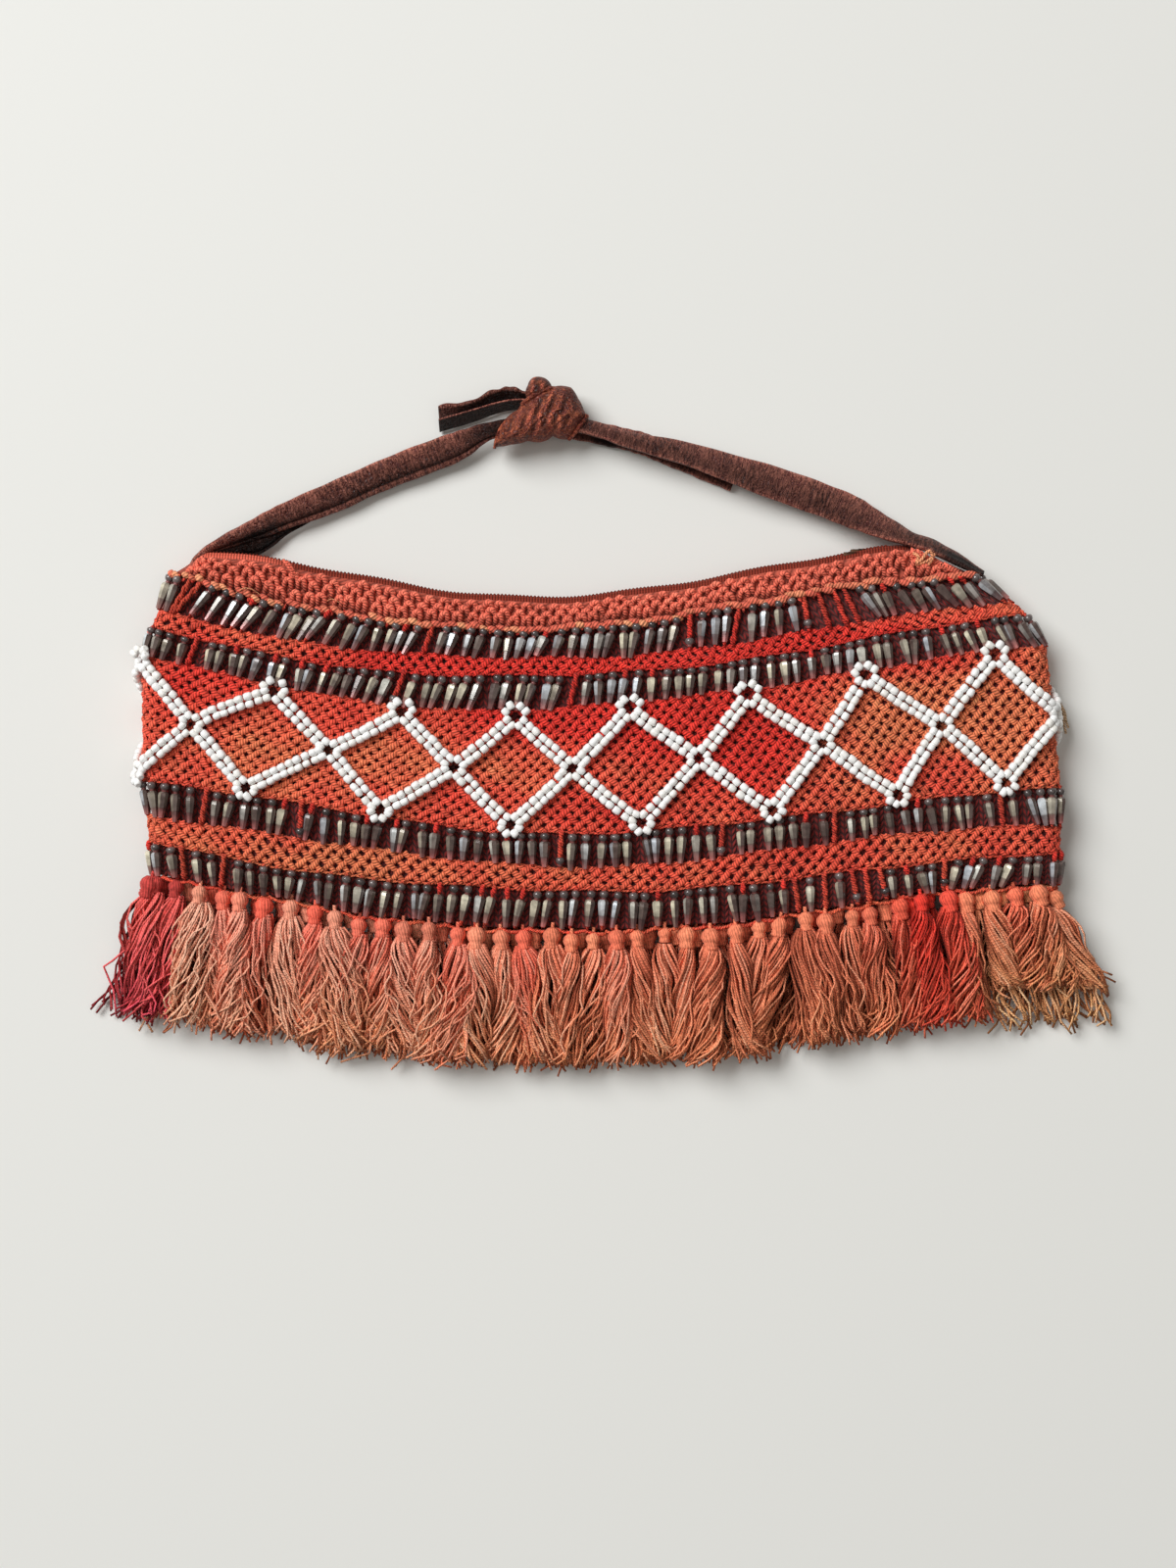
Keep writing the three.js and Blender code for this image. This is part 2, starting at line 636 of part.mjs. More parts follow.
const bag = new THREE.Group();
const { mouth, bandBottom, upperTop, upperBottom, mainTop, mainBottom, lowerTop, lowerBottom } = COURSES;
for (const [name, panel] of Object.entries(liningPanels())) bag.add(piece(name, panel, MATERIALS.lining));
bag.add(piece("net_upper", wallRound([upperTop, upperBottom], 0, NET_WALL), MATERIALS.net));
const mainMiddle = mixCourses(mainTop, mainBottom, 0.5);
bag.add(piece("net_main", wallRound([mainTop, mainMiddle, mainBottom], 0, NET_WALL), MATERIALS.net));
bag.add(piece("net_lower", wallRound([lowerTop, lowerBottom], 0, NET_WALL), MATERIALS.net));
bag.add(piece("top_band", wallRound([mouth, bandBottom], BAND_PROUD, BAND_WALL), MATERIALS.band));
bag.add(piece("zip_tape", zipTape(), MATERIALS.zip));
bag.add(zipSlider());
for (const window of WINDOWS) bag.add(piece(window.name, dropRow(window), MATERIALS.drop));
bag.add(piece("bead_lattice", beadLattice(), MATERIALS.bead));
bag.add(piece("hem_cord", hemCord(), MATERIALS.net));
bag.add(piece("fringe_back", backFringe(), MATERIALS.tassel));
for (let index = 0; index < TASSEL_COUNT; index++) {
  const name = `tassel_${String(index + 1).padStart(2, "0")}`;
  bag.add(piece(name, tassel(index), MATERIALS.tassel));
}
bag.add(piece("strap_knot", geometryOf(knotSolid(0)), MATERIALS.leather));
for (const [name, rows] of Object.entries(STRAPS)) {
  bag.add(piece(name, trimmedStrap(rows), MATERIALS.leather));
}
bag.position.set(-ORIGIN.x, -ORIGIN.y, 0);

export default bag;
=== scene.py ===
# %% [markdown]
# # A beaded fringe bag
# This lesson dresses the imported bag: a crocheted tube of red-orange yarn with white beads, rows of glass
# drops, a tasselled hem, a zipped mouth and a knotted leather strap. The imported part gives sizes and
# places, so the first step loads it.

# %% Load the frame
import math

import bmesh
import bpy
import numpy as np
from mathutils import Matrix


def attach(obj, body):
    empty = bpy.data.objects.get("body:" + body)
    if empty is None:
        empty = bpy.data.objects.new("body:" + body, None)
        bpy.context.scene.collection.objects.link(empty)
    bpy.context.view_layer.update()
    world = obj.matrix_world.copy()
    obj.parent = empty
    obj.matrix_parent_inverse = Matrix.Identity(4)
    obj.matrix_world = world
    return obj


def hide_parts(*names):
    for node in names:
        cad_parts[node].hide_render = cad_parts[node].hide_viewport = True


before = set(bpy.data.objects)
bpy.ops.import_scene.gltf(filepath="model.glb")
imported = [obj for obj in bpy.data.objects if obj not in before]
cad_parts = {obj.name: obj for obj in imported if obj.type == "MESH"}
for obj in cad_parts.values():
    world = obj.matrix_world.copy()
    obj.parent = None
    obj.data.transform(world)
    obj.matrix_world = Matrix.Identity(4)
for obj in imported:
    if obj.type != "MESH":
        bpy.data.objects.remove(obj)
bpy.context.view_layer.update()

print("the frame holds", len(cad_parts), "nodes")

# %% [markdown]
# ## The bag's own surface
# Every row of the crochet is a course that runs right round the flat bag. Nine courses, from the mouth to
# the hem, carry all pieces, so one function that turns course, station and lift into a point keeps them
# together. Lifting a drawn grid off a mesh would also work, but the same formula as the part's keeps
# every piece seated.

# %% Courses
# Columns: left, right, thickness at the folds, extra thickness in the middle, five heights from the left.
COURSES = np.array([
    [-150.5, 117.5, 11.0, 0.5, 62.5, 51.7, 45.5, 53.5, 65.3],
    [-158.5, 139.0, 12.0, 1.0, 57.6, 39.6, 36.9, 46.8, 56.0],
    [-163.4, 152.0, 12.5, 1.5, 43.0, 27.9, 25.4, 34.0, 46.2],
    [-166.0, 156.5, 13.0, 2.0, 36.5, 21.8, 19.4, 29.0, 41.2],
    [-169.4, 164.4, 13.5, 2.5, 27.2, 9.2, 7.2, 18.2, 29.4],
    [-169.6, 169.6, 14.0, 3.0, -18.9, -32.2, -38.3, -30.4, -22.7],
    [-167.8, 169.6, 13.5, 2.5, -32.2, -45.2, -50.9, -42.7, -36.5],
    [-167.0, 169.6, 13.0, 2.0, -41.6, -55.4, -59.6, -53.8, -45.2],
    [-166.0, 169.0, 12.0, 1.5, -54.9, -68.6, -74.3, -65.9, -58.5],
])
MOUTH, BAND_LOW, UPPER_TOP, UPPER_LOW, MAIN_TOP, MAIN_LOW, LOWER_TOP, LOWER_LOW, HEM = range(9)
MAIN_MIDDLE = (MAIN_TOP + MAIN_LOW) / 2
ORIGIN = np.array([0.145, 0.48, 0.0])
BACK_Z = 3.3
FLOOR_GAP = 0.05
print(len(COURSES), "courses from the mouth to the hem")

# %% A point on the bag
STATIONS_ROUND = 6
# Slow waves along x. Columns: height, length, and shift from course to course.
ROW_WAVES = ((0.45, 7.3, 2.1), (0.5, 23.0, -1.3))
FRONT_WAVE = (0.45, 13.0, 1.7)


def course_at(level):
    low = np.clip(np.floor(level).astype(int), 0, len(COURSES) - 2)
    share = (level - low)[..., None]
    return np.moveaxis(COURSES[low] * (1 - share) + COURSES[low + 1] * share, -1, 0)


def bag_surface(level, station, lift=0.0):
    """Points in millimetres. Stations: front -1 to 1, right fold to 2, back to 4, left fold to 5."""
    level, station, lift = np.broadcast_arrays(*(np.asarray(v, float) for v in (level, station, lift)))
    left, right, side, crown, *heights = course_at(level)
    fold = side / 2
    flat = (right - left) / 2 - fold
    turn = station - STATIONS_ROUND * np.round(station / STATIONS_ROUND)
    far = np.abs(turn)
    angle = np.pi * (1.5 - np.clip(far, 1, 2))
    reach = fold + lift
    on_front, on_back = far <= 1, far > 2
    x = np.where(on_front, far * flat, np.where(on_back, (3 - far) * flat, flat + reach * np.cos(angle)))
    z = np.where(on_front, reach + crown * (1 - far**2), np.where(on_back, -reach, reach * np.sin(angle)))
    x = (left + right) / 2 + np.where(turn < 0, -x, x)
    place = 4 * (x - left) / (right - left)
    y = 0
    for own, height in enumerate(heights):
        others = [(place - other) / (own - other) for other in range(5) if other != own]
        y = y + height * np.prod(others, axis=0)
    for rise, length, shift in ROW_WAVES:
        y = y + rise * np.sin(x / length + shift * level)
    rise, length, shift = FRONT_WAVE
    z = z + np.where(on_front, rise * (1 - far**4) * np.sin(x / length + shift * level), 0)
    return np.stack([x, y, z + BACK_Z + fold], -1) - ORIGIN


print("middle of the front, in mm:", bag_surface(MAIN_MIDDLE, 0).round(1))

# %% The way round a course
def length_round(level):
    left, right, side = course_at(np.asarray(float(level)))[:3]
    return float(2 * (right - left) - 2 * side + math.pi * side)


def station_at(level, distance):
    """The station at a distance round a course, measured from the middle of the front to the right."""
    left, right, side = course_at(np.asarray(float(level)))[:3]
    fold_length = math.pi * side / 2
    flat = (right - left - side) / 2
    whole = 4 * flat + 2 * fold_length
    turn = distance - whole * np.round(distance / whole)
    far = np.abs(turn)
    on_fold = 1 + (far - flat) / fold_length
    on_back = 2 + (far - flat - fold_length) / flat
    station = np.where(far <= flat, far / flat, np.where(far <= flat + fold_length, on_fold, on_back))
    return np.sign(turn) * station


def unit(vectors):
    return vectors / np.maximum(np.linalg.norm(vectors, axis=-1, keepdims=True), 1e-9)


def on_surface(level, station, lift):
    """Points on the bag's surface and the outward directions there."""
    place = bag_surface(level, station, lift)
    return place, unit(bag_surface(level, station, np.asarray(lift) + 0.5) - place)


MAIN_ROUND = length_round(MAIN_MIDDLE)
print("round the main band:", round(MAIN_ROUND, 1), "mm")

# %% [markdown]
# ## From arrays to pieces
# Yarn, beads and stitches come in hundreds. A loop that adds one object for each would be slow, so points
# and corners are laid out in arrays and joined to one mesh for each piece. Each mesh carries a UV map
# that runs round and along the yarn, and a colour attribute that holds the dye and, on many pieces,
# painted shade and painted highlights.

# %% Join arrays
SHAPE_KEYS = ("points", "sizes", "uv", "dye_and_painted_light", "smooth")


def merged(shapes):
    first = np.cumsum([0] + [len(shape["points"]) for shape in shapes[:-1]])
    whole = {key: np.concatenate([shape[key] for shape in shapes]) for key in SHAPE_KEYS}
    whole["corners"] = np.concatenate([shape["corners"] + start for shape, start in zip(shapes, first)])
    return whole


def welded(shape):
    """The same shape, with the points that lie on each other along its seams made one."""
    _, first, own = np.unique(shape["points"].round(4), axis=0, return_index=True, return_inverse=True)
    corners = own.ravel()[shape["corners"]]
    return {**shape, "points": shape["points"][first], "dye_and_painted_light": shape["dye_and_painted_light"][first], "corners": corners}


print("a shape holds corners and", *SHAPE_KEYS)

# %% Make a piece
MM_PER_METRE = 1000
triangles_made = {}


def make_piece(name, shape, finish, stands_for=(), facets=False):
    """One object from arrays. Facets with a colour of their own come as loose faces and are welded here."""
    dye_and_painted_light = np.ones((len(shape["corners"]), 4), np.float32)
    dye_and_painted_light[:, :3] = shape["dye_and_painted_light"][shape["corners"]]
    shape = welded(shape) if facets else shape
    mesh = bpy.data.meshes.new(name)
    mesh.vertices.add(len(shape["points"]))
    mesh.vertices.foreach_set("co", (shape["points"] / MM_PER_METRE).astype(np.float32).ravel())
    mesh.loops.add(len(shape["corners"]))
    mesh.loops.foreach_set("vertex_index", shape["corners"].astype(np.int32))
    mesh.polygons.add(len(shape["sizes"]))
    starts = np.concatenate([[0], np.cumsum(shape["sizes"])[:-1]])
    mesh.polygons.foreach_set("loop_start", starts.astype(np.int32))
    mesh.polygons.foreach_set("use_smooth", shape["smooth"].astype(bool))
    mesh.uv_layers.new(name="UVMap").data.foreach_set("uv", shape["uv"].astype(np.float32).ravel())
    # The colour attribute holds the dye, and on many pieces painted shade and painted highlights too.
    mesh.attributes.new("dye_and_painted_light", "FLOAT_COLOR", "CORNER").data.foreach_set("color", dye_and_painted_light.ravel())
    mesh.update(calc_edges=True)
    mesh.validate()
    mesh.materials.append(finish)
    piece = bpy.data.objects.new(name, mesh)
    bpy.context.scene.collection.objects.link(piece)
    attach(piece, "root")
    if stands_for:
        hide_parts(*stands_for)
    triangles_made[name] = int((shape["sizes"] - 2).sum())
    print(name, triangles_made[name], "triangles")
    return piece


print("shapes are in mm and pieces in m,", MM_PER_METRE, "to one")

# %% [markdown]
# ## Yarn as tubes
# Almost all of the bag is yarn. A curve with a round bevel would give it, but thousands of curves are
# slow, so one function sweeps all strands of a piece at once: a ring of points at each step, and a cap at
# both ends.

# %% Yarn tubes
CAP_UV = 0.25


def strands(paths, out, half_width, half_height, dye_and_painted_light, sides=6):
    """Closed yarn tubes along paths of shape (strand, point, 3), flattened along the out directions.

    A tube of three sides lies with a flat side outwards.
    """
    count, steps = paths.shape[:2]
    along = unit(np.gradient(paths, axis=1))
    across = unit(np.cross(out, along))
    up = np.cross(along, across)
    start_turn = 0.25 if sides == 3 else 0.0
    angle = 2 * np.pi * (np.arange(sides) + start_turn) / sides
    wide = np.broadcast_to(half_width, (count, steps))[..., None, None]
    high = np.broadcast_to(half_height, (count, steps))[..., None, None]
    ring = wide * across[:, :, None] * np.cos(angle)[:, None]
    ring = ring + high * up[:, :, None] * np.sin(angle)[:, None]
    points = (paths[:, :, None] + ring).reshape(-1, 3)
    index = np.arange(count * steps * sides).reshape(count, steps, sides)
    here, there = index[:, :-1], index[:, 1:]
    skin = np.stack([here, np.roll(here, -1, 2), np.roll(there, -1, 2), there], -1).reshape(-1, 4)
    travelled = np.cumsum(np.linalg.norm(np.diff(paths, axis=1, prepend=paths[:, :1]), axis=-1), axis=1)
    turn = np.broadcast_to(np.arange(sides) / sides, (count, steps - 1, sides))
    start = np.broadcast_to(travelled[:, :-1, None], turn.shape)
    end = np.broadcast_to(travelled[:, 1:, None], turn.shape)
    step = 1 / sides
    uv = np.stack([turn, start, turn + step, start, turn + step, end, turn, end], -1).reshape(-1, 2)
    caps = np.concatenate([index[:, 0, ::-1], index[:, -1]])
    colour = np.broadcast_to(dye_and_painted_light, (count, steps, 3))
    return {
        "points": points,
        "corners": np.concatenate([skin.ravel(), caps.ravel()]),
        "sizes": np.concatenate([np.full(len(skin), 4), np.full(len(caps), sides)]),
        "uv": np.concatenate([uv, np.full((caps.size, 2), CAP_UV)]),
        "dye_and_painted_light": np.repeat(colour.reshape(-1, 3), sides, axis=0),
        "smooth": np.ones(len(skin) + len(caps), bool),
    }


one_step, upwards = np.array([[[0.0, 0, 0], [1, 0, 0]]]), np.array([[[0.0, 0, 1], [0, 0, 1]]])
sample = strands(one_step, upwards, 1, 1, (1, 1, 1))
print("a yarn of one step has", len(sample["sizes"]), "faces")

# %% [markdown]
# ## Yarn finish
# A finish is a small node tree. Yarn shows its twist: the plies wind round the strand, lighter on their
# crowns and with painted shade in the grooves, and dust and fading make it blotchy. Several pieces are
# yarn, so the twist is one node group with the plies for each millimetre as its input, and each finish
# mixes it with the piece's own dye and painted light.

# %% Node helpers
def paint(red, green, blue):
    """A colour as seen on screen, turned into the linear light that shaders use."""
    seen = np.array([red, green, blue]) / 255
    return np.where(seen <= 0.04045, seen / 12.92, ((seen + 0.055) / 1.055) ** 2.4)


def add(tree, kind, values=None, **settings):
    made = tree.nodes.new(kind)
    for key, value in settings.items():
        setattr(made, key, value)
    for key, value in (values or {}).items():
        if isinstance(value, bpy.types.NodeSocket):
            tree.links.new(value, made.inputs[key])
        else:
            made.inputs[key].default_value = value
    return made


def reckon(tree, operation, first, second=0.0):
    return add(tree, "ShaderNodeMath", {0: first, 1: second}, operation=operation).outputs[0]


def spread(tree, value, low, high, out_low=0.0, out_high=1.0):
    sizes = {"Value": value, "From Min": low, "From Max": high, "To Min": out_low, "To Max": out_high}
    return add(tree, "ShaderNodeMapRange", sizes).outputs["Result"]


def mix_colour(tree, share, first, second, blend="MIX"):
    values = {0: share, 6: first, 7: second}
    return add(tree, "ShaderNodeMix", values, data_type="RGBA", blend_type=blend).outputs[2]


def dye_and_painted_light_of(tree):
    return add(tree, "ShaderNodeVertexColor", layer_name="dye_and_painted_light").outputs["Color"]


def uv_of(tree):
    return add(tree, "ShaderNodeUVMap", uv_map="UVMap").outputs[0]


def noise(tree, scale, detail, **more):
    """Noise on the bag's own coordinates."""
    place = add(tree, "ShaderNodeTexCoord").outputs["Object"]
    values = {"Vector": place, "Scale": scale, "Detail": detail, **more}
    return add(tree, "ShaderNodeTexNoise", values).outputs[0]


def bump(tree, shader, height, strength, distance):
    raised = add(tree, "ShaderNodeBump", {"Height": height, "Strength": strength, "Distance": distance})
    tree.links.new(raised.outputs[0], shader.inputs["Normal"])


print("white is", paint(255, 255, 255), "and middle grey", paint(128, 128, 128).round(3))

# %% Groups and finishes
def new_group(name, inputs, outputs):
    group = bpy.data.node_groups.new(name, "ShaderNodeTree")
    for in_out, names in (("INPUT", inputs), ("OUTPUT", outputs)):
        for socket_name in names:
            group.interface.new_socket(socket_name, in_out=in_out, socket_type="NodeSocketFloat")
    return group, add(group, "NodeGroupInput").outputs, add(group, "NodeGroupOutput").inputs


def new_finish(name, **sockets):
    finish = bpy.data.materials.new(name)
    finish.use_nodes = True
    tree = finish.node_tree
    shader = tree.nodes["Principled BSDF"]
    for key, value in sockets.items():
        shader.inputs[key.replace("_", " ").title().replace("Ior", "IOR")].default_value = value
    return finish, tree, shader


PLIES = 2.0
TWIST_INPUTS, TWIST_MASKS = ["Plies per mm", "Fuzz scale"], ["Ridge", "Fuzz"]
twist_group, twist_in, twist_out = new_group("yarn_twist", TWIST_INPUTS, TWIST_MASKS)
yarn_uv = add(twist_group, "ShaderNodeSeparateXYZ", {0: uv_of(twist_group)}).outputs
ply = reckon(twist_group, "MULTIPLY", yarn_uv[1], twist_in["Plies per mm"])
ply = reckon(twist_group, "ADD", ply, reckon(twist_group, "MULTIPLY", yarn_uv[0], PLIES))
wave = reckon(twist_group, "SINE", reckon(twist_group, "MULTIPLY", ply, math.pi))
twist_group.links.new(reckon(twist_group, "ABSOLUTE", wave), twist_out["Ridge"])
twist_group.links.new(noise(twist_group, twist_in["Fuzz scale"], 5.0), twist_out["Fuzz"])
print("yarn twist group:", len(twist_group.nodes), "nodes")

# %% Yarn finishes
FUZZ_SCALE = 850.0
# Tone on the plies' crowns, against the painted shade in the grooves, and the range of the fuzz.
RIDGE_TONE, FUZZ_TONES = 1.08, (0.66, 1.3)


def yarn_finish(name, plies_per_mm, groove_shade, relief):
    finish, tree, shader = new_finish(name, roughness=0.85, sheen_weight=0.04, specular_ior_level=0.2)
    twist = add(tree, "ShaderNodeGroup", node_tree=twist_group)
    twist.inputs["Plies per mm"].default_value = plies_per_mm
    twist.inputs["Fuzz scale"].default_value = FUZZ_SCALE
    # Painted shade in the grooves between the plies, slightly lighter than the dye on their crowns.
    shade = spread(tree, twist.outputs["Ridge"], 0.0, 0.9, groove_shade, RIDGE_TONE)
    fuzzy = spread(tree, twist.outputs["Fuzz"], 0.3, 0.7, *FUZZ_TONES)
    both = reckon(tree, "MULTIPLY", shade, fuzzy)
    tree.links.new(mix_colour(tree, 1.0, dye_and_painted_light_of(tree), both, "MULTIPLY"), shader.inputs["Base Color"])
    fuzz_height = reckon(tree, "MULTIPLY", twist.outputs["Fuzz"], 0.5)
    bump(tree, shader, reckon(tree, "ADD", twist.outputs["Ridge"], fuzz_height), relief, 0.0004)
    return finish


net_finish = yarn_finish("net_yarn_finish", 0.9, 0.4, 0.8)
band_finish = yarn_finish("band_crochet_finish", 0.9, 0.48, 0.8)
tassel_finish = yarn_finish("tassel_yarn_finish", 0.9, 0.66, 0.5)
print("yarn finishes:", [finish.name for finish in (net_finish, band_finish, tassel_finish)])

# %% [markdown]
# ## The net
# The bag's outer tube is an open crochet net in three bands. It reads as two families of slanting strands
# that pass over and under each other. A flat sheet with a hole pattern would look painted on, so each
# strand is a real tube that rises and sinks at the crossings. The dye has faded unevenly: deep red
# patches are left in the middle and under the drops, and the rest has gone to orange.

# %% Dye of the net
FADED_ORANGE, ORANGE_RED, DEEP_RED = paint(252, 138, 94), paint(252, 98, 74), paint(244, 64, 53)
USUAL_REDNESS, MOST_REDNESS = 0.42, 1.25
# Columns: x, y, spread in x, spread in y, strength towards red, negative towards faded orange.
DYE_PATCHES = np.array([
    [-20, 8, 26, 14, 1.3], [36, 2, 30, 16, 1.1], [-35, 22, 60, 9, 1.2], [70, 28, 60, 10, 1.2],
    [-96, 2, 18, 9, 0.5], [-148, 14, 20, 16, 0.55], [55, -8, 26, 18, 0.45], [-50, -26, 14, 8, 0.4],
    [0, -32, 26, 8, 0.45], [120, -14, 16, 8, 0.35], [102, 2, 30, 18, -0.55], [146, 4, 26, 20, -0.6],
    [-122, -6, 26, 14, -0.35], [-80, -12, 18, 12, -0.35], [-30, -16, 16, 12, -0.3],
    [-110, -52, 60, 10, -0.5], [60, -46, 20, 8, 0.3], [-150, -62, 16, 14, 0.5],
])


def net_dye(points):
    """Soft blotches, small mottles and the patches above, from faded orange through to deep red."""
    x, y = points[..., 0], points[..., 1]
    blotches = 0.12 * np.sin(x / 11) * np.sin(y / 8 + 1)
    mottles = 0.14 * np.sin(x / 3.7 + y / 5) * np.sin(y / 3.1)
    redness = USUAL_REDNESS + blotches + mottles
    for middle_x, middle_y, wide, high, strength in DYE_PATCHES:
        away = ((x - middle_x) / wide) ** 2 + ((y - middle_y) / high) ** 2
        redness = redness + strength * np.exp(-away)
    redness = np.clip(redness, 0, MOST_REDNESS)[..., None]
    low = FADED_ORANGE + (ORANGE_RED - FADED_ORANGE) * np.clip(2 * redness, 0, 1)
    return low + (DEEP_RED - low) * np.clip(2 * redness - 1, 0, 1)


print("dye in the middle of the front:", net_dye(bag_surface(MAIN_MIDDLE, 0)).round(2))

# %% Fan of the main band
# Columns: distance from the middle of the front, and how far the columns slide from top to bottom.
FAN = np.array([
    [-192, 0], [-166, -2], [-124, -12], [-77, -10], [-32, -4], [14, 2], [59, 6], [103, 9], [148, -1],
    [190, 0],
])


def fanned_station(distance, share):
    """Columns of the main band slide as they go down, so that the pattern fans out."""
    near = distance - MAIN_ROUND * np.round(distance / MAIN_ROUND)
    return station_at(MAIN_MIDDLE, distance + np.interp(near, FAN[:, 0], FAN[:, 1]) * (share - 0.5))


print("the fan slides columns by up to", np.abs(FAN[:, 1]).max(), "mm")

# %% Strands of the net
NET_PITCH = 4.9
NET_LIFT = -0.9
WEAVE_RISE = 0.42
STRAND_FLATNESS = 0.52
# How far yarn strays, and how much its tone and width vary along it and from strand to strand.
NET_JITTER, STRAND_TONE, SPOT_TONE, WIDTH_CHANGE = 0.17, 0.07, 0.1, 0.1
# Yarn gets painted shade at a hole of the bead lattice: darkest distance, reach of the shade, least tone.
HOLE_DARK, HOLE_REACH, HOLE_TONE = 0.9, 2.4, 0.03
# One seeded source of chance for the whole bag keeps every run the same.
dice = np.random.default_rng(23)


def net_strands(top, low, rows, half_width, fan, hole_places):
    """Two slanting families of strands. Fan: share of the slide at the top and at the bottom."""
    columns = round(MAIN_ROUND / NET_PITCH)
    row = np.linspace(0, rows, 2 * rows + 1)
    share = row / rows
    shapes = []
    for slant in (1, -1):
        column = np.arange(columns)[:, None] + slant * row / 2
        slid = np.broadcast_to(fan[0] + (fan[1] - fan[0]) * share, column.shape)
        station = fanned_station(column * MAIN_ROUND / columns, slid)
        level = np.broadcast_to(top + (low - top) * share, column.shape)
        weave = slant * np.cos(np.pi * row)
        place, out = on_surface(level, station, NET_LIFT + WEAVE_RISE * weave)
        place = place + dice.normal(0, NET_JITTER, place.shape)
        dye_and_painted_light = net_dye(place) * dice.normal(1, STRAND_TONE, (columns, 1, 1))
        dye_and_painted_light = dye_and_painted_light * dice.normal(1, SPOT_TONE, place.shape[:2] + (1,))
        # Painted shade near the holes of the lattice, and a little where a strand passes under the other
        # slant.
        near = np.linalg.norm(place[:, :, None] - hole_places, axis=-1).min(axis=-1)
        dye_and_painted_light = dye_and_painted_light * np.clip((near - HOLE_DARK) / HOLE_REACH, HOLE_TONE, 1)[..., None]
        dye_and_painted_light = dye_and_painted_light * (0.9 + 0.1 * weave)[..., None]
        width = half_width * dice.normal(1, WIDTH_CHANGE, place.shape[:2])
        shapes.append(strands(place, out, width, STRAND_FLATNESS * half_width, np.clip(dye_and_painted_light, 0, 1)))
    return merged(shapes)


print(round(MAIN_ROUND / NET_PITCH), "strands of each slant go round the bag")

# %% Edge cords
CORD_STEP = 1.4


def ring_cord(level, lift, radius, sag, sag_length, turn_length, dye_scale):
    """A cord of two twisted plies right round the bag at one level, sagging between its holds."""
    steps = round(length_round(level) / CORD_STEP)
    distance = np.arange(steps + 1) / steps * length_round(level)
    sagging = sag * np.abs(np.sin(np.pi * distance / sag_length + 0.6 * np.sin(distance / 31)))
    shapes = []
    for strand in (0, 1):
        phase = 2 * np.pi * distance / turn_length + np.pi * strand
        place, out = on_surface(level, station_at(level, distance), lift + 0.5 * radius * np.cos(phase))
        place[:, 1] += 0.55 * radius * np.sin(phase) - sagging
        dye_and_painted_light = np.clip(net_dye(place) * dye_scale, 0, 1)
        shapes.append(strands(place[None], out[None], radius * 0.8, radius * 0.75, dye_and_painted_light[None], sides=4))
    return merged(shapes)


print("an edge cord has", round(length_round(UPPER_TOP) / CORD_STEP), "steps at the top of the net")

# %% [markdown]
# ## The bead lattice
# Double lines of small white glass beads cross the main band as a chain of diamonds. Where two lines
# cross, a dark hole is painted as shade on the yarn, and at the tips both lines run one pair of beads past
# the hole.
# One barrel bead is spun from a profile and copied along the lines with a little wobble, because strung
# beads never sit quite straight.

# %% Places of the lattice
LATTICE_ROUND = 16
FRONT_CROSSINGS = [-187.0, -148.7, -98.2, -52.6, -9.3, 36.8, 81.7, 125.3, 168.5]
TIP_SHARE = {"top": 0.045, "low": 0.945}


def lattice_point(distance, share, lift):
    return on_surface(MAIN_TOP + share, fanned_station(distance, share), lift)


lattice_lines = []
lattice_nodes = []
round_again = FRONT_CROSSINGS[0] + MAIN_ROUND
back_count = LATTICE_ROUND + 2 - len(FRONT_CROSSINGS)
crossings = FRONT_CROSSINGS + list(np.linspace(FRONT_CROSSINGS[-1], round_again, back_count)[1:])
for here, there in zip(crossings, crossings[1:]):
    tip = (here + there) / 2
    lattice_nodes += [(here, 0.5), (tip, TIP_SHARE["top"]), (tip, TIP_SHARE["low"])]
    lattice_lines += [(crossing, tip, side) for side in TIP_SHARE for crossing in (here, there)]
hole_places = lattice_point(*np.array(lattice_nodes).T, NET_LIFT)[0]
print(len(lattice_lines), "lines of beads and", len(hole_places), "holes")

# %% Shapes to copy
UV_PER_MM = 0.3


def pattern_of(shape_mesh, smooth=True, windings=0):
    """A bmesh as arrays, ready to be copied. Windings make a UV map that runs round the Z axis.

    Faces are put in order, because operators may list them in another order on each run.
    """
    shape_mesh.verts.index_update()
    points = np.array([vertex.co for vertex in shape_mesh.verts])
    faces = [[vertex.index for vertex in face.verts] for face in shape_mesh.faces]
    shape_mesh.free()
    lowest = [face.index(min(face)) for face in faces]
    faces = sorted(face[first:] + face[:first] for face, first in zip(faces, lowest))
    corners = np.concatenate(faces)
    sizes = np.array([len(face) for face in faces])
    place = points[corners]
    turn = np.arctan2(place[:, 1], place[:, 0]) / (2 * np.pi)
    face = np.repeat(np.arange(len(sizes)), sizes)
    highest = np.full(len(sizes), -1.0)
    np.maximum.at(highest, face, turn)
    turn = np.where(highest[face] - turn > 0.5, turn + 1, turn)
    uv = np.stack([windings * turn, UV_PER_MM * place[:, 2]], -1)
    uv = uv if windings else np.full((len(corners), 2), CAP_UV)
    smooth = np.full(len(sizes), smooth)
    return {"points": points, "corners": corners, "sizes": sizes, "smooth": smooth, "uv": uv}


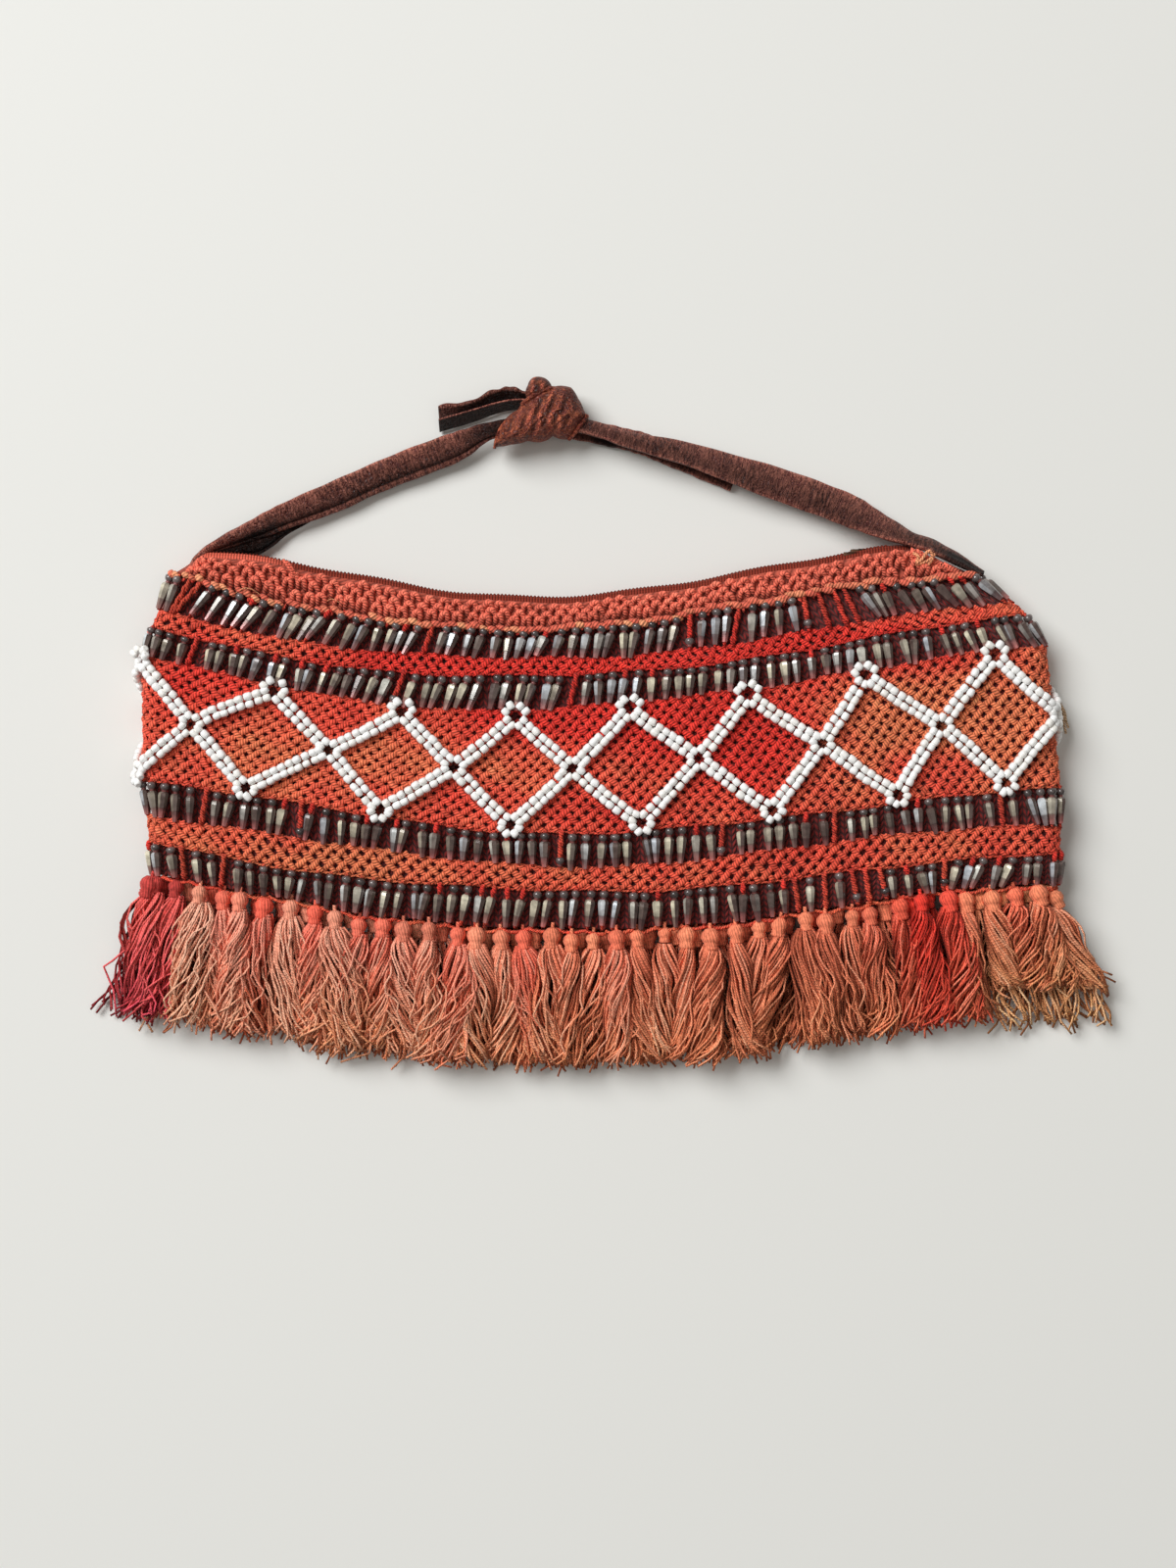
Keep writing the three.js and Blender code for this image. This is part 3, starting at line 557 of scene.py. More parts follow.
def turned(profile, sides):
    """A closed turned shape from radius and height pairs, spun about Z and capped."""
    shape_mesh = bmesh.new()
    line = [shape_mesh.verts.new((radius, 0, height)) for radius, height in profile]
    edges = [shape_mesh.edges.new(pair) for pair in zip(line, line[1:])]
    whole_turn = 2 * math.pi
    bmesh.ops.spin(
        shape_mesh, geom=line + edges, cent=(0, 0, 0), axis=(0, 0, 1), angle=whole_turn, steps=sides,
        use_merge=True,
    )
    bmesh.ops.remove_doubles(shape_mesh, verts=shape_mesh.verts, dist=1e-4)
    bmesh.ops.holes_fill(shape_mesh, edges=shape_mesh.edges, sides=0)
    bmesh.ops.recalc_face_normals(shape_mesh, faces=shape_mesh.faces)
    return shape_mesh


BEAD_LENGTH, BEAD_RADIUS, BEAD_SIDES = 3.05, 1.46, 8
BEAD_PROFILE = [(0.42, 0.47), (0.76, 0.48), (0.99, 0.22), (0.99, -0.22), (0.76, -0.48), (0.42, -0.47)]
bead_line = [(BEAD_RADIUS * radius, BEAD_LENGTH * height) for radius, height in BEAD_PROFILE]
bead_pattern = pattern_of(turned(bead_line, BEAD_SIDES))
print("a white bead has", len(bead_pattern["sizes"]), "faces")

# %% Copies of a shape
def copies(pattern, places, axes, dye_and_painted_light):
    """Places (n, 3), axes (n, 3, 3) with the pattern's x, y and z as rows, dye (n, 3) or (n, points, 3)."""
    count, size = len(places), len(pattern["points"])
    points = np.einsum("vk,nkj->nvj", pattern["points"], axes) + places[:, None]
    shift = (size * np.arange(count))[:, None]
    dye_and_painted_light = np.asarray(dye_and_painted_light)
    dye_and_painted_light = dye_and_painted_light[:, None] if dye_and_painted_light.ndim == 2 else dye_and_painted_light
    return {
        "points": points.reshape(-1, 3),
        "corners": (pattern["corners"][None] + shift).ravel(),
        "sizes": np.tile(pattern["sizes"], count),
        "uv": np.tile(pattern["uv"], (count, 1)),
        "dye_and_painted_light": np.broadcast_to(dye_and_painted_light, (count, size, 3)).reshape(-1, 3),
        "smooth": np.tile(pattern["smooth"], count),
    }


sample = copies(bead_pattern, np.zeros((2, 3)), np.stack([np.eye(3)] * 2), np.ones((2, 3)))
print("two beads have", len(sample["sizes"]), "faces")

# %% Lines of beads
BEAD_PITCH, ROW_APART, FIRST_BEAD = 3.15, 1.42, 3.05
BEAD_LIFT = 1.6
TIP_BEAD = {"top": 3.9, "low": 3.1}
LINE_STEPS = 101
# The last bead of a line points along the last steps before the tip.
TIP_STEPS = 12


def line_of_beads(crossing, tip, side):
    """Bead centres, their long axes and their outward directions along the middle of one double line."""
    share = np.linspace(0, 1, LINE_STEPS)
    height = 0.5 + (TIP_SHARE[side] - 0.5) * share
    place, out = lattice_point(crossing + (tip - crossing) * share, height, BEAD_LIFT)
    travelled = np.concatenate([[0], np.cumsum(np.linalg.norm(np.diff(place, axis=0), axis=1))])
    room = travelled[-1] - 2 * FIRST_BEAD
    middle = FIRST_BEAD + room * np.linspace(0, 1, round(room / BEAD_PITCH) + 1)
    columns = np.concatenate([place, out], axis=1)
    at = np.stack([np.interp(middle, travelled, column) for column in columns.T], -1)
    ahead = np.stack([np.interp(middle + 0.5, travelled, column) for column in place.T], -1)
    last_way = unit(place[-1] - place[-TIP_STEPS])
    centre = np.vstack([at[:, :3], place[-1] + TIP_BEAD[side] * last_way])
    along = np.vstack([unit(ahead - at[:, :3]), last_way])
    return centre, along, unit(np.vstack([at[:, 3:], out[-1]]))


print("a line holds", len(line_of_beads(*lattice_lines[0])[0]), "pairs of beads")

# %% White beads
# Spread of the beads' places along and across the line, of their tilt, thickness and length.
BEAD_STAGGER, BEAD_JITTER, BEAD_TILT, BEAD_THICK, BEAD_LONG = 0.16, 0.1, 0.1, 0.04, 0.05
BEAD_WHITE, BEAD_CREAM, CREAM_SHARE = paint(252, 251, 250), paint(236, 224, 204), 0.3
BEAD_DIRT = (0.66, 0.55, 0.46, 1.0)


def scatter_beads():
    centres, lengths, outs = [], [], []
    for line in lattice_lines:
        centre, along, out = line_of_beads(*line)
        beside = np.cross(out, along)
        for side in (-1, 1):
            stagger = dice.normal(0, BEAD_STAGGER, (len(centre), 1)) * along
            jitter = dice.normal(0, BEAD_JITTER, centre.shape)
            centres.append(centre + side * ROW_APART * beside + stagger + jitter)
            lengths.append(unit(along + dice.normal(0, BEAD_TILT, along.shape)))
            outs.append(out)
    centre, along, out = (np.concatenate(rows) for rows in (centres, lengths, outs))
    beside = unit(np.cross(out, along))
    thick = dice.normal(1, BEAD_THICK, (len(centre), 1))
    long = dice.normal(1, BEAD_LONG, thick.shape)
    axes = np.stack([beside * thick, np.cross(along, beside) * thick, along * long], 1)
    warm = dice.uniform(0, 1, (len(centre), 1)) ** 2
    dye_and_painted_light = BEAD_WHITE * (1 - CREAM_SHARE * warm) + CREAM_SHARE * warm * BEAD_CREAM
    beads = copies(bead_pattern, centre, axes, dye_and_painted_light)
    beads["points"][:, 2] = np.maximum(beads["points"][:, 2], FLOOR_GAP)
    return beads


white_finish, tree, shader = new_finish(
    "white_bead_finish", roughness=0.25, coat_weight=0.5, coat_roughness=0.1
)
bead_dirt = noise(tree, 260.0, 3.0)
bead_colour = mix_colour(tree, spread(tree, bead_dirt, 0.52, 0.8, 0.0, 0.22), dye_and_painted_light_of(tree), BEAD_DIRT)
tree.links.new(bead_colour, shader.inputs["Base Color"])
tree.links.new(spread(tree, bead_dirt, 0.3, 0.8, 0.18, 0.4), shader.inputs["Roughness"])
make_piece("white_beads", scatter_beads(), white_finish, ["bead_lattice"])

# %% [markdown]
# ## Bands of net and their edges
# Each band gets its strands and a thin twisted cord on both edges, which stands for the foundation row
# that the threads of the drops are looped through. Near the holes of the lattice the yarn gets painted
# shade, and a little where a strand passes under the other slant.

# %% Net bands
# Columns: piece, node, top and low course, rows, half width of a strand, share of the fan at both edges.
NET_BANDS = [
    ("net_upper_yarn", "net_upper", UPPER_TOP, UPPER_LOW, 3, 0.98, (0, 0)),
    ("net_main_yarn", "net_main", MAIN_TOP, MAIN_LOW, 20, 1.08, (0, 1)),
    ("net_lower_yarn", "net_lower", LOWER_TOP, LOWER_LOW, 4, 1.08, (1, 1)),
]
EDGE_CORD = {
    "lift": -1.0, "radius": 0.42, "sag": 0.5, "sag_length": NET_PITCH, "turn_length": 4.5, "dye_scale": 0.9,
}
for name, node, top, low, rows, half_width, fan in NET_BANDS:
    woven = net_strands(top, low, rows, half_width, fan, hole_places)
    edges = [ring_cord(level, **EDGE_CORD) for level in (top, low)]
    make_piece(name, merged([woven] + edges), net_finish, [node])

# %% [markdown]
# ## The lining
# Between the drops and through the holes a dark red knit shows. It is a pouch of two flat panels. Its
# stitches are only seen in slits, so the panels are plain grids from the bag's surface, and the V-shaped
# stitches come from the panel's UV map as colour and bump, with painted shade between the stitches.

# %% Knit finish
# Painted shade between the stitches, and the red of the stitches themselves.
KNIT_DARK, KNIT_RED = paint(44, 8, 9), paint(140, 34, 30)
knit_finish, tree, shader = new_finish("lining_knit_finish", roughness=0.95, sheen_weight=0.15)
knit_uv = add(tree, "ShaderNodeSeparateXYZ", {0: uv_of(tree)}).outputs
leg = reckon(tree, "ABSOLUTE", reckon(tree, "SUBTRACT", reckon(tree, "FRACT", knit_uv[0]), 0.5))
slanted = reckon(tree, "ADD", knit_uv[1], reckon(tree, "MULTIPLY", leg, 1.3))
ridge = reckon(tree, "SINE", reckon(tree, "MULTIPLY", reckon(tree, "FRACT", slanted), math.pi))
wale = reckon(tree, "SINE", reckon(tree, "MULTIPLY", leg, 2 * math.pi))
stitch = reckon(tree, "MULTIPLY", ridge, reckon(tree, "POWER", wale, 0.5))
tree.links.new(mix_colour(tree, stitch, (*KNIT_DARK, 1), (*KNIT_RED, 1)), shader.inputs["Base Color"])
bump(tree, shader, stitch, 0.9, 0.0009)
print("knit finish:", len(tree.nodes), "nodes")

# %% Lining panels
LINING_LIFT = -2.2
LINING_TOP = MOUTH + 0.6
KNIT_PITCH = {"column": 3.2, "row": 2.4}
PANEL_ROWS, PANEL_COLUMNS = 30, 120
LINING_DYE = paint(74, 22, 20)
# Columns: piece, node, first and last station.
PANELS = [("lining_front_knit", "lining_front", -1.5, 1.5), ("lining_back_knit", "lining_back", 1.5, 4.5)]


def grid_sheet(place, uv, dye_and_painted_light):
    """A sheet from a grid of points of shape (rows, columns, 3), with a UV value for each point."""
    rows, columns = place.shape[:2]
    sheet_mesh = bmesh.new()
    bmesh.ops.create_grid(sheet_mesh, x_segments=columns - 1, y_segments=rows - 1, size=1)
    bmesh.ops.reverse_faces(sheet_mesh, faces=sheet_mesh.faces)
    sheet = pattern_of(sheet_mesh)
    sheet["points"] = place.reshape(-1, 3)
    sheet["uv"] = uv.reshape(-1, 2)[sheet["corners"]]
    sheet["dye_and_painted_light"] = np.broadcast_to(dye_and_painted_light, (rows, columns, 3)).reshape(-1, 3)
    return sheet


def lining_panel(first, last):
    level = np.linspace(LINING_TOP, HEM, PANEL_ROWS)[:, None]
    station = np.linspace(first, last, PANEL_COLUMNS)[None]
    place = bag_surface(level, station, LINING_LIFT)
    width = np.linalg.norm(np.diff(place[PANEL_ROWS // 2], axis=0), axis=1).cumsum()
    uv = np.empty(place.shape[:2] + (2,))
    uv[..., 0] = np.concatenate([[0], width]) / KNIT_PITCH["column"]
    uv[..., 1] = place[:, PANEL_COLUMNS // 2, None, 1] / KNIT_PITCH["row"]
    return grid_sheet(place, uv, LINING_DYE)


for name, node, first, last in PANELS:
    panel = make_piece(name, lining_panel(first, last), knit_finish, [node])

# %% [markdown]
# ## Glass drops in their windows
# In four windows between the bands hang smoky glass drops, each under a small round bead, strung on red
# yarn. They are faceted, so a drop is spun with few sides and shaded flat, and its bead is smooth. A
# modelled cut for each facet would cost many faces for the same look.

# %% Shapes of a drop
DROP_LENGTH = 12.5
FACETS, ROUND_SIDES = 7, 8
# Columns: radius and depth below the top, for the round bead with its small neck bead and for the drop.
ROUND_BEAD = [(0.5, 0.0), (1.5, 0.45), (1.75, 1.3), (1.4, 2.2), (0.85, 2.55), (1.05, 2.95), (0.8, 3.4)]
DROP_BODY = [(1.15, 3.2), (1.82, 3.75), (1.95, 4.7), (1.5, 8.7), (1.42, 9.1), (0.95, 12.5)]

bead_part = pattern_of(turned([(r, -d) for r, d in ROUND_BEAD], ROUND_SIDES))
body_part = pattern_of(turned([(r, -d) for r, d in DROP_BODY], FACETS), smooth=False)
# Each facet gets corners of its own until the piece is made, so that it can have a colour of its own.
body_part["points"] = body_part["points"][body_part["corners"]]
body_part["corners"] = np.arange(len(body_part["corners"]))
body_face = np.repeat(np.arange(len(body_part["sizes"])), body_part["sizes"])
face_middle = np.stack([np.bincount(body_face, column) for column in body_part["points"].T], -1)
face_turn = np.arctan2(face_middle[:, 1], face_middle[:, 0]) / (2 * np.pi) % 1
facet_of = np.floor(face_turn * FACETS).astype(int)[body_face]
print("a drop has", len(body_part["sizes"]), "facets, its bead", len(bead_part["sizes"]), "faces")

# %% [markdown]
# ## Where the drops hang
# The drops lean: near the left the tips swing left, near the right fold they swing right. Some have been
# lost and show bare yarn. Each row has a pitch and its leans at seven stations, and chance does the rest,
# because a place for every single drop would be a long table that looks no better.

# %% Rows of drops
# Columns of leans: degrees from upright at the stations in LEAN_AT.
LEAN_AT = (-1, -0.5, 0, 0.45, 0.72, 0.84, 1)
# Columns: node, top and low course, pitch, leans.
DROP_ROWS = [
    ("drop_row_1", BAND_LOW, UPPER_TOP, 4.7, (-36, -26, -13, -4, 26, 34, 40)),
    ("drop_row_2", UPPER_LOW, MAIN_TOP, 4.75, (-14, -24, -10, 0, 10, 20, 32)),
    ("drop_row_3", MAIN_LOW, LOWER_TOP, 5.0, (-8, -6, 0, 2, 6, 10, 14)),
    ("drop_row_4", LOWER_LOW, HEM, 5.0, (10, -14, -4, 5, 12, -24, -6)),
]
# Stretches in x, for each row, that have lost their drops.
BARE = {
    "drop_row_1": [(73, 92), (-151, -145), (30, 34)],
    "drop_row_2": [(-151, -145), (71, 76)],
    "drop_row_3": [(-148, -143), (43, 47), (81, 85)],
    "drop_row_4": [(90, 103), (79, 83), (68, 72), (-140, -135)],
}
LOST_SHARE, BEADLESS_SHARE, FALLEN_SHARE = 0.04, 0.15, 0.3
SLOT_JITTER, LEAN_CHANGE, DROP_LIFT = 0.16, 4, 0.2
# A point above this height is on the front of the bag.
FRONT_Z = BACK_Z + 6


def station_of_x(level, x, back=False):
    """The station at one x of a course, on the front or on the back, bunched up past the folds."""
    left, right, side = course_at(np.asarray(level, float))[:3]
    place = np.clip((x - (left + right) / 2) / ((right - left - side) / 2), -1.3, 1.3)
    return 3 - place if back else place


def hang(upper, lower, pitch, leans):
    """Where each drop of a row hangs: its top, the way it points, the outward way, its window's length."""
    whole = length_round(upper)
    count = round(whole / pitch)
    distance = (np.arange(count) + dice.uniform(-SLOT_JITTER, SLOT_JITTER, count)) * whole / count
    station = station_at(upper, distance)
    top, out = on_surface(upper + 0.02, station, DROP_LIFT)
    drop = top[:, 1] - bag_surface(lower, station, DROP_LIFT)[:, 1]
    lean = np.interp(np.clip(station, -1, 1), LEAN_AT, leans) + dice.normal(0, LEAN_CHANGE, count)
    slid_x = top[:, 0] + ORIGIN[0] + drop * np.tan(np.radians(lean))
    low_station = np.where(np.abs(station) < 1, station_of_x(np.full(count, lower), slid_x), station)
    end = bag_surface(lower, low_station, DROP_LIFT)
    return top, unit(end - top), out, np.linalg.norm(end - top, axis=1)


def bare_slots(node, top):
    lost = dice.uniform(size=len(top)) < LOST_SHARE
    for first, last in BARE[node]:
        lost |= (top[:, 2] > FRONT_Z) & (top[:, 0] > first) & (top[:, 0] < last)
    return lost


for node, upper, lower, pitch, leans in DROP_ROWS:
    print(node, "has room for", round(length_round(upper) / pitch), "drops")

# %% [markdown]
# ## Colours of the glass
# Smoky glass looks dark, with a bright cream or sky-blue facet where it faces the window, and a rosy tip.
# Clear glass that bends light needs many light paths and comes out noisy on drops this small, so the
# facets are dyed by how they face the light, and the gloss is left to the shader.

# %% Colours of the glass
# Cream and sky are painted highlights and reflections for the facets that face the light.
GLASS = {
    "bead": paint(104, 92, 90), "smoke": paint(98, 80, 74), "cream": paint(248, 238, 210),
    "sky": paint(232, 240, 248), "shade": paint(74, 52, 50), "rose": paint(204, 118, 114),
}
LIGHT_WAY = np.array([-0.6, 0.35, 0.72])
# How strongly a facet shines, as depth below the top and factor. Below the end of the shine it is smoky.
LIT_DEPTH = ((3.2, 4.2, 7.0, 8.9), (0.5, 1.0, 0.9, 0.45))
SHINE_END = 8.9
ROSY_FROM, ROSY_FADE = 8.6, 3.6
NECK_FROM, NECK_FADE = 2.2, 0.4


def mixed(first, second, share):
    return first + (second - first) * share


def glass_dye_and_painted_light(axes):
    """Facets towards the light shine cream or sky, the lower end is smoky with a rosy tip."""
    one = (len(axes), 1, 1)
    angle = 2 * np.pi * (np.arange(FACETS) + 0.5) / FACETS
    facing = np.cos(angle)[:, None] * axes[:, None, 0] + np.sin(angle)[:, None] * axes[:, None, 1]
    lit = facing @ LIGHT_WAY + dice.normal(0, 0.22, (len(axes), FACETS))
    lit = np.clip(3.4 * lit - 2.0, 0, 1)[:, facet_of, None] * dice.uniform(0.45, 1.0, one)
    depth = -body_part["points"][:, 2][None, :, None]
    lit = lit * np.interp(depth, *LIT_DEPTH)
    light = mixed(GLASS["cream"], GLASS["sky"], np.clip(dice.uniform(-1.0, 1.2, one), 0, 1))
    upper = mixed(GLASS["smoke"], light, lit)
    rosy = np.clip((depth - ROSY_FROM) / ROSY_FADE, 0, 1) * dice.uniform(0.1, 1, one)
    lower = mixed(mixed(GLASS["shade"], light, 0.4 * lit), GLASS["rose"], rosy)
    return np.where(depth < SHINE_END, upper, lower)


def neck_dye(count):
    """The round bead is dark, and the small neck bead below it is rosy."""
    depth = -bead_part["points"][:, 2][None, :, None]
    dark = GLASS["bead"] * dice.uniform(0.4, 1.3, (count, 1, 1))
    return mixed(dark, GLASS["rose"] * 0.4, np.clip((depth - NECK_FROM) / NECK_FADE, 0, 1))


print("glass colours:", list(GLASS))

# %% [markdown]
# ## Drops and their threads
# Each slot of a row gets a drop under its bead on a twisted pair of yarns. Where the drop is lost the
# yarns are thicker and a bead may have slid down, and where only the bead is lost a knot sits in its
# place. Drops of one row become one piece, because they are strung in one go.

# %% One row of drops
# Drops shrink or grow a little to fit their window.
FIT_SHARE, FIT_LEAST, FIT_MOST = 0.98, 0.85, 1.08
FALLEN_ROOM = 4.5


def drop_row(node, *hold):
    top, axis, out, room = hang(*hold)
    count = len(top)
    lost = bare_slots(node, top)
    kept = ~lost
    beaded = kept & (dice.uniform(size=count) > BEADLESS_SHARE)
    grow = np.clip(room * FIT_SHARE / DROP_LENGTH, FIT_LEAST, FIT_MOST)[:, None]
    grow = grow * dice.normal(1, 0.025, (count, 1))
    roll = dice.uniform(0, 2 * np.pi, (count, 1))
    side = unit(np.cross(axis, out))
    first = np.cos(roll) * side + np.sin(roll) * np.cross(side, axis)
    second = np.cross(-axis, first)
    wide = dice.normal(1, 0.05, grow.shape)
    axes = np.stack([first * wide, second * wide, -axis * grow], 1)
    start = top + 0.3 * axis
    beads = copies(bead_part, start[beaded], axes[beaded], neck_dye(beaded.sum()))
    bodies = copies(body_part, start[kept], axes[kept], glass_dye_and_painted_light(axes[kept]))
    slid = lost & (dice.uniform(size=count) < FALLEN_SHARE)
    low_start = start + (room[:, None] - FALLEN_ROOM) * axis
    fallen = copies(bead_part, low_start[slid], axes[slid], neck_dye(slid.sum()))
    return merged([beads, bodies, fallen]), (top, axis, out, room, lost, kept & ~beaded)


print("a drop of", DROP_LENGTH, "mm may grow to", round(FIT_MOST * DROP_LENGTH, 1), "mm")

# %% Threads of the drops
THREAD_POINTS = 7
KNOT_LENGTH, KNOT_RADIUS, KNOT_LIFT = 3.4, 1.05, 0.25


def drop_threads(top, axis, out, room, lost, beadless):
    """Two twisted yarns down each slot, thicker where the drop is lost, and a knot for a lost bead."""
    share = np.linspace(-0.04, 1.02, THREAD_POINTS)
    side = unit(np.cross(axis, out))
    outs = np.broadcast_to(out[:, None], (len(top), THREAD_POINTS, 3))
    shapes = []
    for ply in (0, 1):
        turn = np.pi * (3.5 * share + ply)
        swing = np.where(lost, 0.62, 0.3)[:, None, None]
        path = top[:, None] + (share * room[:, None])[..., None] * axis[:, None]
        path = path + swing * (np.cos(turn)[:, None] * side[:, None] + np.sin(turn)[:, None] * out[:, None])
        path = path + np.where(lost, -0.3, -0.2)[:, None, None] * out[:, None]
        dye_and_painted_light = mixed(DEEP_RED, net_dye(path), 0.5) * dice.uniform(0.55, 0.95, (len(top), 1, 1))
        radius = np.where(lost, 0.72, 0.5)[:, None]
        shapes.append(strands(path, outs, radius, radius, np.clip(dye_and_painted_light, 0, 1), sides=4))
    down = np.linspace(0.0, KNOT_LENGTH, THREAD_POINTS)[:, None] * axis[beadless, None]
    knot = top[beadless, None] + down + KNOT_LIFT * out[beadless, None]
    knot = knot + dice.normal(0, 0.15, knot.shape)
    thick = KNOT_RADIUS * np.sqrt(np.sin(np.pi * np.linspace(0.06, 0.94, THREAD_POINTS)))
    knot_dye = DEEP_RED * dice.uniform(0.6, 1.0, (len(knot), 1, 1))
    shapes.append(strands(knot, outs[beadless], thick, thick, knot_dye))
    return merged(shapes)


print("a thread has", THREAD_POINTS, "points")

# %% Glass finish and the four rows
glass_finish, tree, shader = new_finish(
    "glass_drop_finish", roughness=0.28, metallic=0.12, coat_weight=0.55, coat_roughness=0.14,
    specular_ior_level=0.5,
)
smear = noise(tree, 420.0, 4.0)
clouded = mix_colour(tree, 1.0, dye_and_painted_light_of(tree), spread(tree, smear, 0.3, 0.7, 0.6, 1.15), "MULTIPLY")
tree.links.new(clouded, shader.inputs["Base Color"])
tree.links.new(spread(tree, smear, 0.35, 0.75, 0.16, 0.4), shader.inputs["Roughness"])
thread_shapes = []
for node, *hold in DROP_ROWS:
    glass, slots = drop_row(node, *hold)
    make_piece(node + "_glass", glass, glass_finish, [node], facets=True)
    thread_shapes.append(drop_threads(*slots))
make_piece("drop_threads", merged(thread_shapes), net_finish)

# %% [markdown]
# ## The crocheted band
# A chunky band of coral yarn rims the mouth. Its stitches are rounded loops in three rows, each row half
# a stitch aside. Each loop is a short fat strand over a backing, so loops and gaps have real shape; the
# dark at its feet and of the backing is painted shade, and the light on its crown a painted highlight. A
# bump pattern would stay flat at the edge of the mouth.

# %% Loops of the band
STITCH_PITCH = 5.0
# Columns: shift in pitches, top and low share of the band's height, half thickness.
ARCHES = [(0.0, 0.07, 0.42, 1.1), (0.5, 0.31, 0.67, 1.1), (0.0, 0.57, 0.95, 1.12)]
ARCH_HALF_SPAN, ARCH_POINTS = 0.28, 9
CORAL, PEACH, STRAW = paint(250, 120, 96), paint(250, 166, 122), paint(226, 188, 150)


def plump(share):
    """Thickness along a lump of yarn, round at both ends."""
    return np.sqrt(np.clip(np.sin(np.pi * (0.05 + 0.9 * share)), 0.05, 1))


def band_arches(back):
    """Rounded loops in three rows, each row half a stitch aside, over the whole length of one side."""
    share = np.linspace(0, 1, ARCH_POINTS)
    column = np.arange(COURSES[BAND_LOW, 0] + 1, COURSES[BAND_LOW, 1], STITCH_PITCH)
    one = (len(column), 1)
    shapes = []
    for shift, top, low, thick in ARCHES:
        x = column[:, None] + STITCH_PITCH * (shift - ARCH_HALF_SPAN * np.cos(np.pi * share))
        rise = np.sin(np.pi * share) ** 0.6
        x = x + dice.normal(0, 0.25, one) + dice.normal(0, 0.5, one) * rise
        x = x + dice.normal(0, 0.16, (len(column), ARCH_POINTS))
        level = MOUTH + low - (low - top) * rise + dice.normal(0, 0.04, one)
        lift = 0.1 + 0.85 * rise - 0.6 * (1 - rise) + dice.normal(0, 0.16, one)
        place, out = on_surface(level, station_of_x(level, x, back), lift)
        size = thick * (0.6 + 0.4 * plump(share)) * dice.normal(1, 0.08, one)
        colour_shift = dice.normal(1, 0.07, one + (1,)) + 0.06 * np.sin(place[..., :1] / 19)
        # Dark at the loop's feet and light on its crown: painted shade and painted highlight.
        colour_shift = colour_shift * (0.34 + 0.74 * rise)[:, None]
        shapes.append(strands(place, out, size, 0.9 * size, np.clip(CORAL * colour_shift, 0, 1)))
    return shapes


band_shapes = band_arches(False) + band_arches(True)
print(len(band_shapes), "rows of loops on both sides")

# %% [markdown]
# ## Foundation of the band
# Behind the loops lies a ring of the coral yarn, darkened to half as painted shade for the gaps between
# the loops. Below them a loose whip stitch in pale, worn yarn holds the drops, and short red loops hang
# from it over the drops' tops. The ring is a swept grid with an outer and an inner face, and the stitches
# are short strands of uneven size.

# %% Foundation
BACKING_TOP, BACKING_ROWS, BACKING_COLUMNS = MOUTH - 0.05, 5, 241
BACKING_LIFTS = {"outer": -0.7, "inner": -1.5}
WHIP_PITCH, LUMP_PITCH = 2.9, 3.4
BAND_ROUND = length_round(BAND_LOW)


def band_backing():
    """A ring behind the loops, darkened as painted shade, closed: down its outer face and up its inner one.
    """
    level = np.linspace(BACKING_TOP, BAND_LOW, BACKING_ROWS)
    level = np.concatenate([level, level[::-1], level[:1]])[:, None]
    lifts = [BACKING_LIFTS["outer"], BACKING_LIFTS["inner"], BACKING_LIFTS["outer"]]
    lift = np.repeat(lifts, [BACKING_ROWS, BACKING_ROWS, 1])[:, None]
    station = np.linspace(-STATIONS_ROUND / 2, STATIONS_ROUND / 2, BACKING_COLUMNS)[None]
    level, station, lift = np.broadcast_arrays(level, station, lift)
    uv = np.stack([station * 20, level * 8], -1)
    # Half the coral: painted shade in the gaps between the loops.
    return welded(grid_sheet(bag_surface(level, station, lift), uv, 0.5 * CORAL))


def foundation_stitches():
    """Worn pale lumps along the lower edge of the band, with red ones between them."""
    columns = round(BAND_ROUND / WHIP_PITCH)
    one = (columns, 1)
    share = np.linspace(0, 1, 7)
    across = np.arange(columns)[:, None] + dice.normal(0, 0.12, one) + 1.3 * share
    station = station_at(BAND_LOW, across / columns * BAND_ROUND)
    level = BAND_LOW + 0.01 + 0.12 * (share - 0.5) + dice.normal(0, 0.04, one)
    place, out = on_surface(level, station, -0.1 + 0.8 * np.sin(np.pi * share))
    worn = np.clip(dice.uniform(-0.6, 1.3, one + (1,)), 0, 1)
    worn = worn * np.clip(1.15 - place[..., :1] / 140, 0.45, 1)
    size = plump(share) * dice.uniform(0.8, 1.2, one)
    return strands(place, out, 1.25 * size, 0.9 * size, mixed(0.8 * CORAL, PEACH, worn))


def hanging_lumps():
    """Short red loops that hang from the foundation over the tops of the first row of drops."""
    columns = round(BAND_ROUND / LUMP_PITCH)
    one = (columns, 1)
    share = np.linspace(0, 1, 6)
    across = np.arange(columns)[:, None] + dice.normal(0, 0.2, one) - 0.25 * share
    station = station_at(BAND_LOW, across / columns * BAND_ROUND)
    level = BAND_LOW + 0.02 + dice.uniform(0.05, 0.22, one) * share
    place, out = on_surface(level, station, -0.6 + 0.3 * np.sin(np.pi * share))
    size = 0.75 * plump(share) * dice.uniform(0.7, 1.1, one)
    return strands(place, out, size, size, mixed(0.8 * DEEP_RED, CORAL, dice.uniform(0, 0.8, one + (1,))))


band_shapes += [band_backing(), foundation_stitches(), hanging_lumps()]
print("the foundation has", round(BAND_ROUND / WHIP_PITCH), "stitches")

# %% [markdown]
# ## Loose ends
# A few ends of yarn stand off the band and the right fold, where the bag was mended. They follow lines of
# photo pixels, which a smooth curve joins, so a handful of points is enough for each.

# %% Loose ends and the whole band
PIXEL_MM, PIXEL_X, PIXEL_Y = 0.36, 613.5, 741.5
STEPS_PER_PIXEL_POINT = 4
UPWARDS = [0.0, 0.0, 1.0]
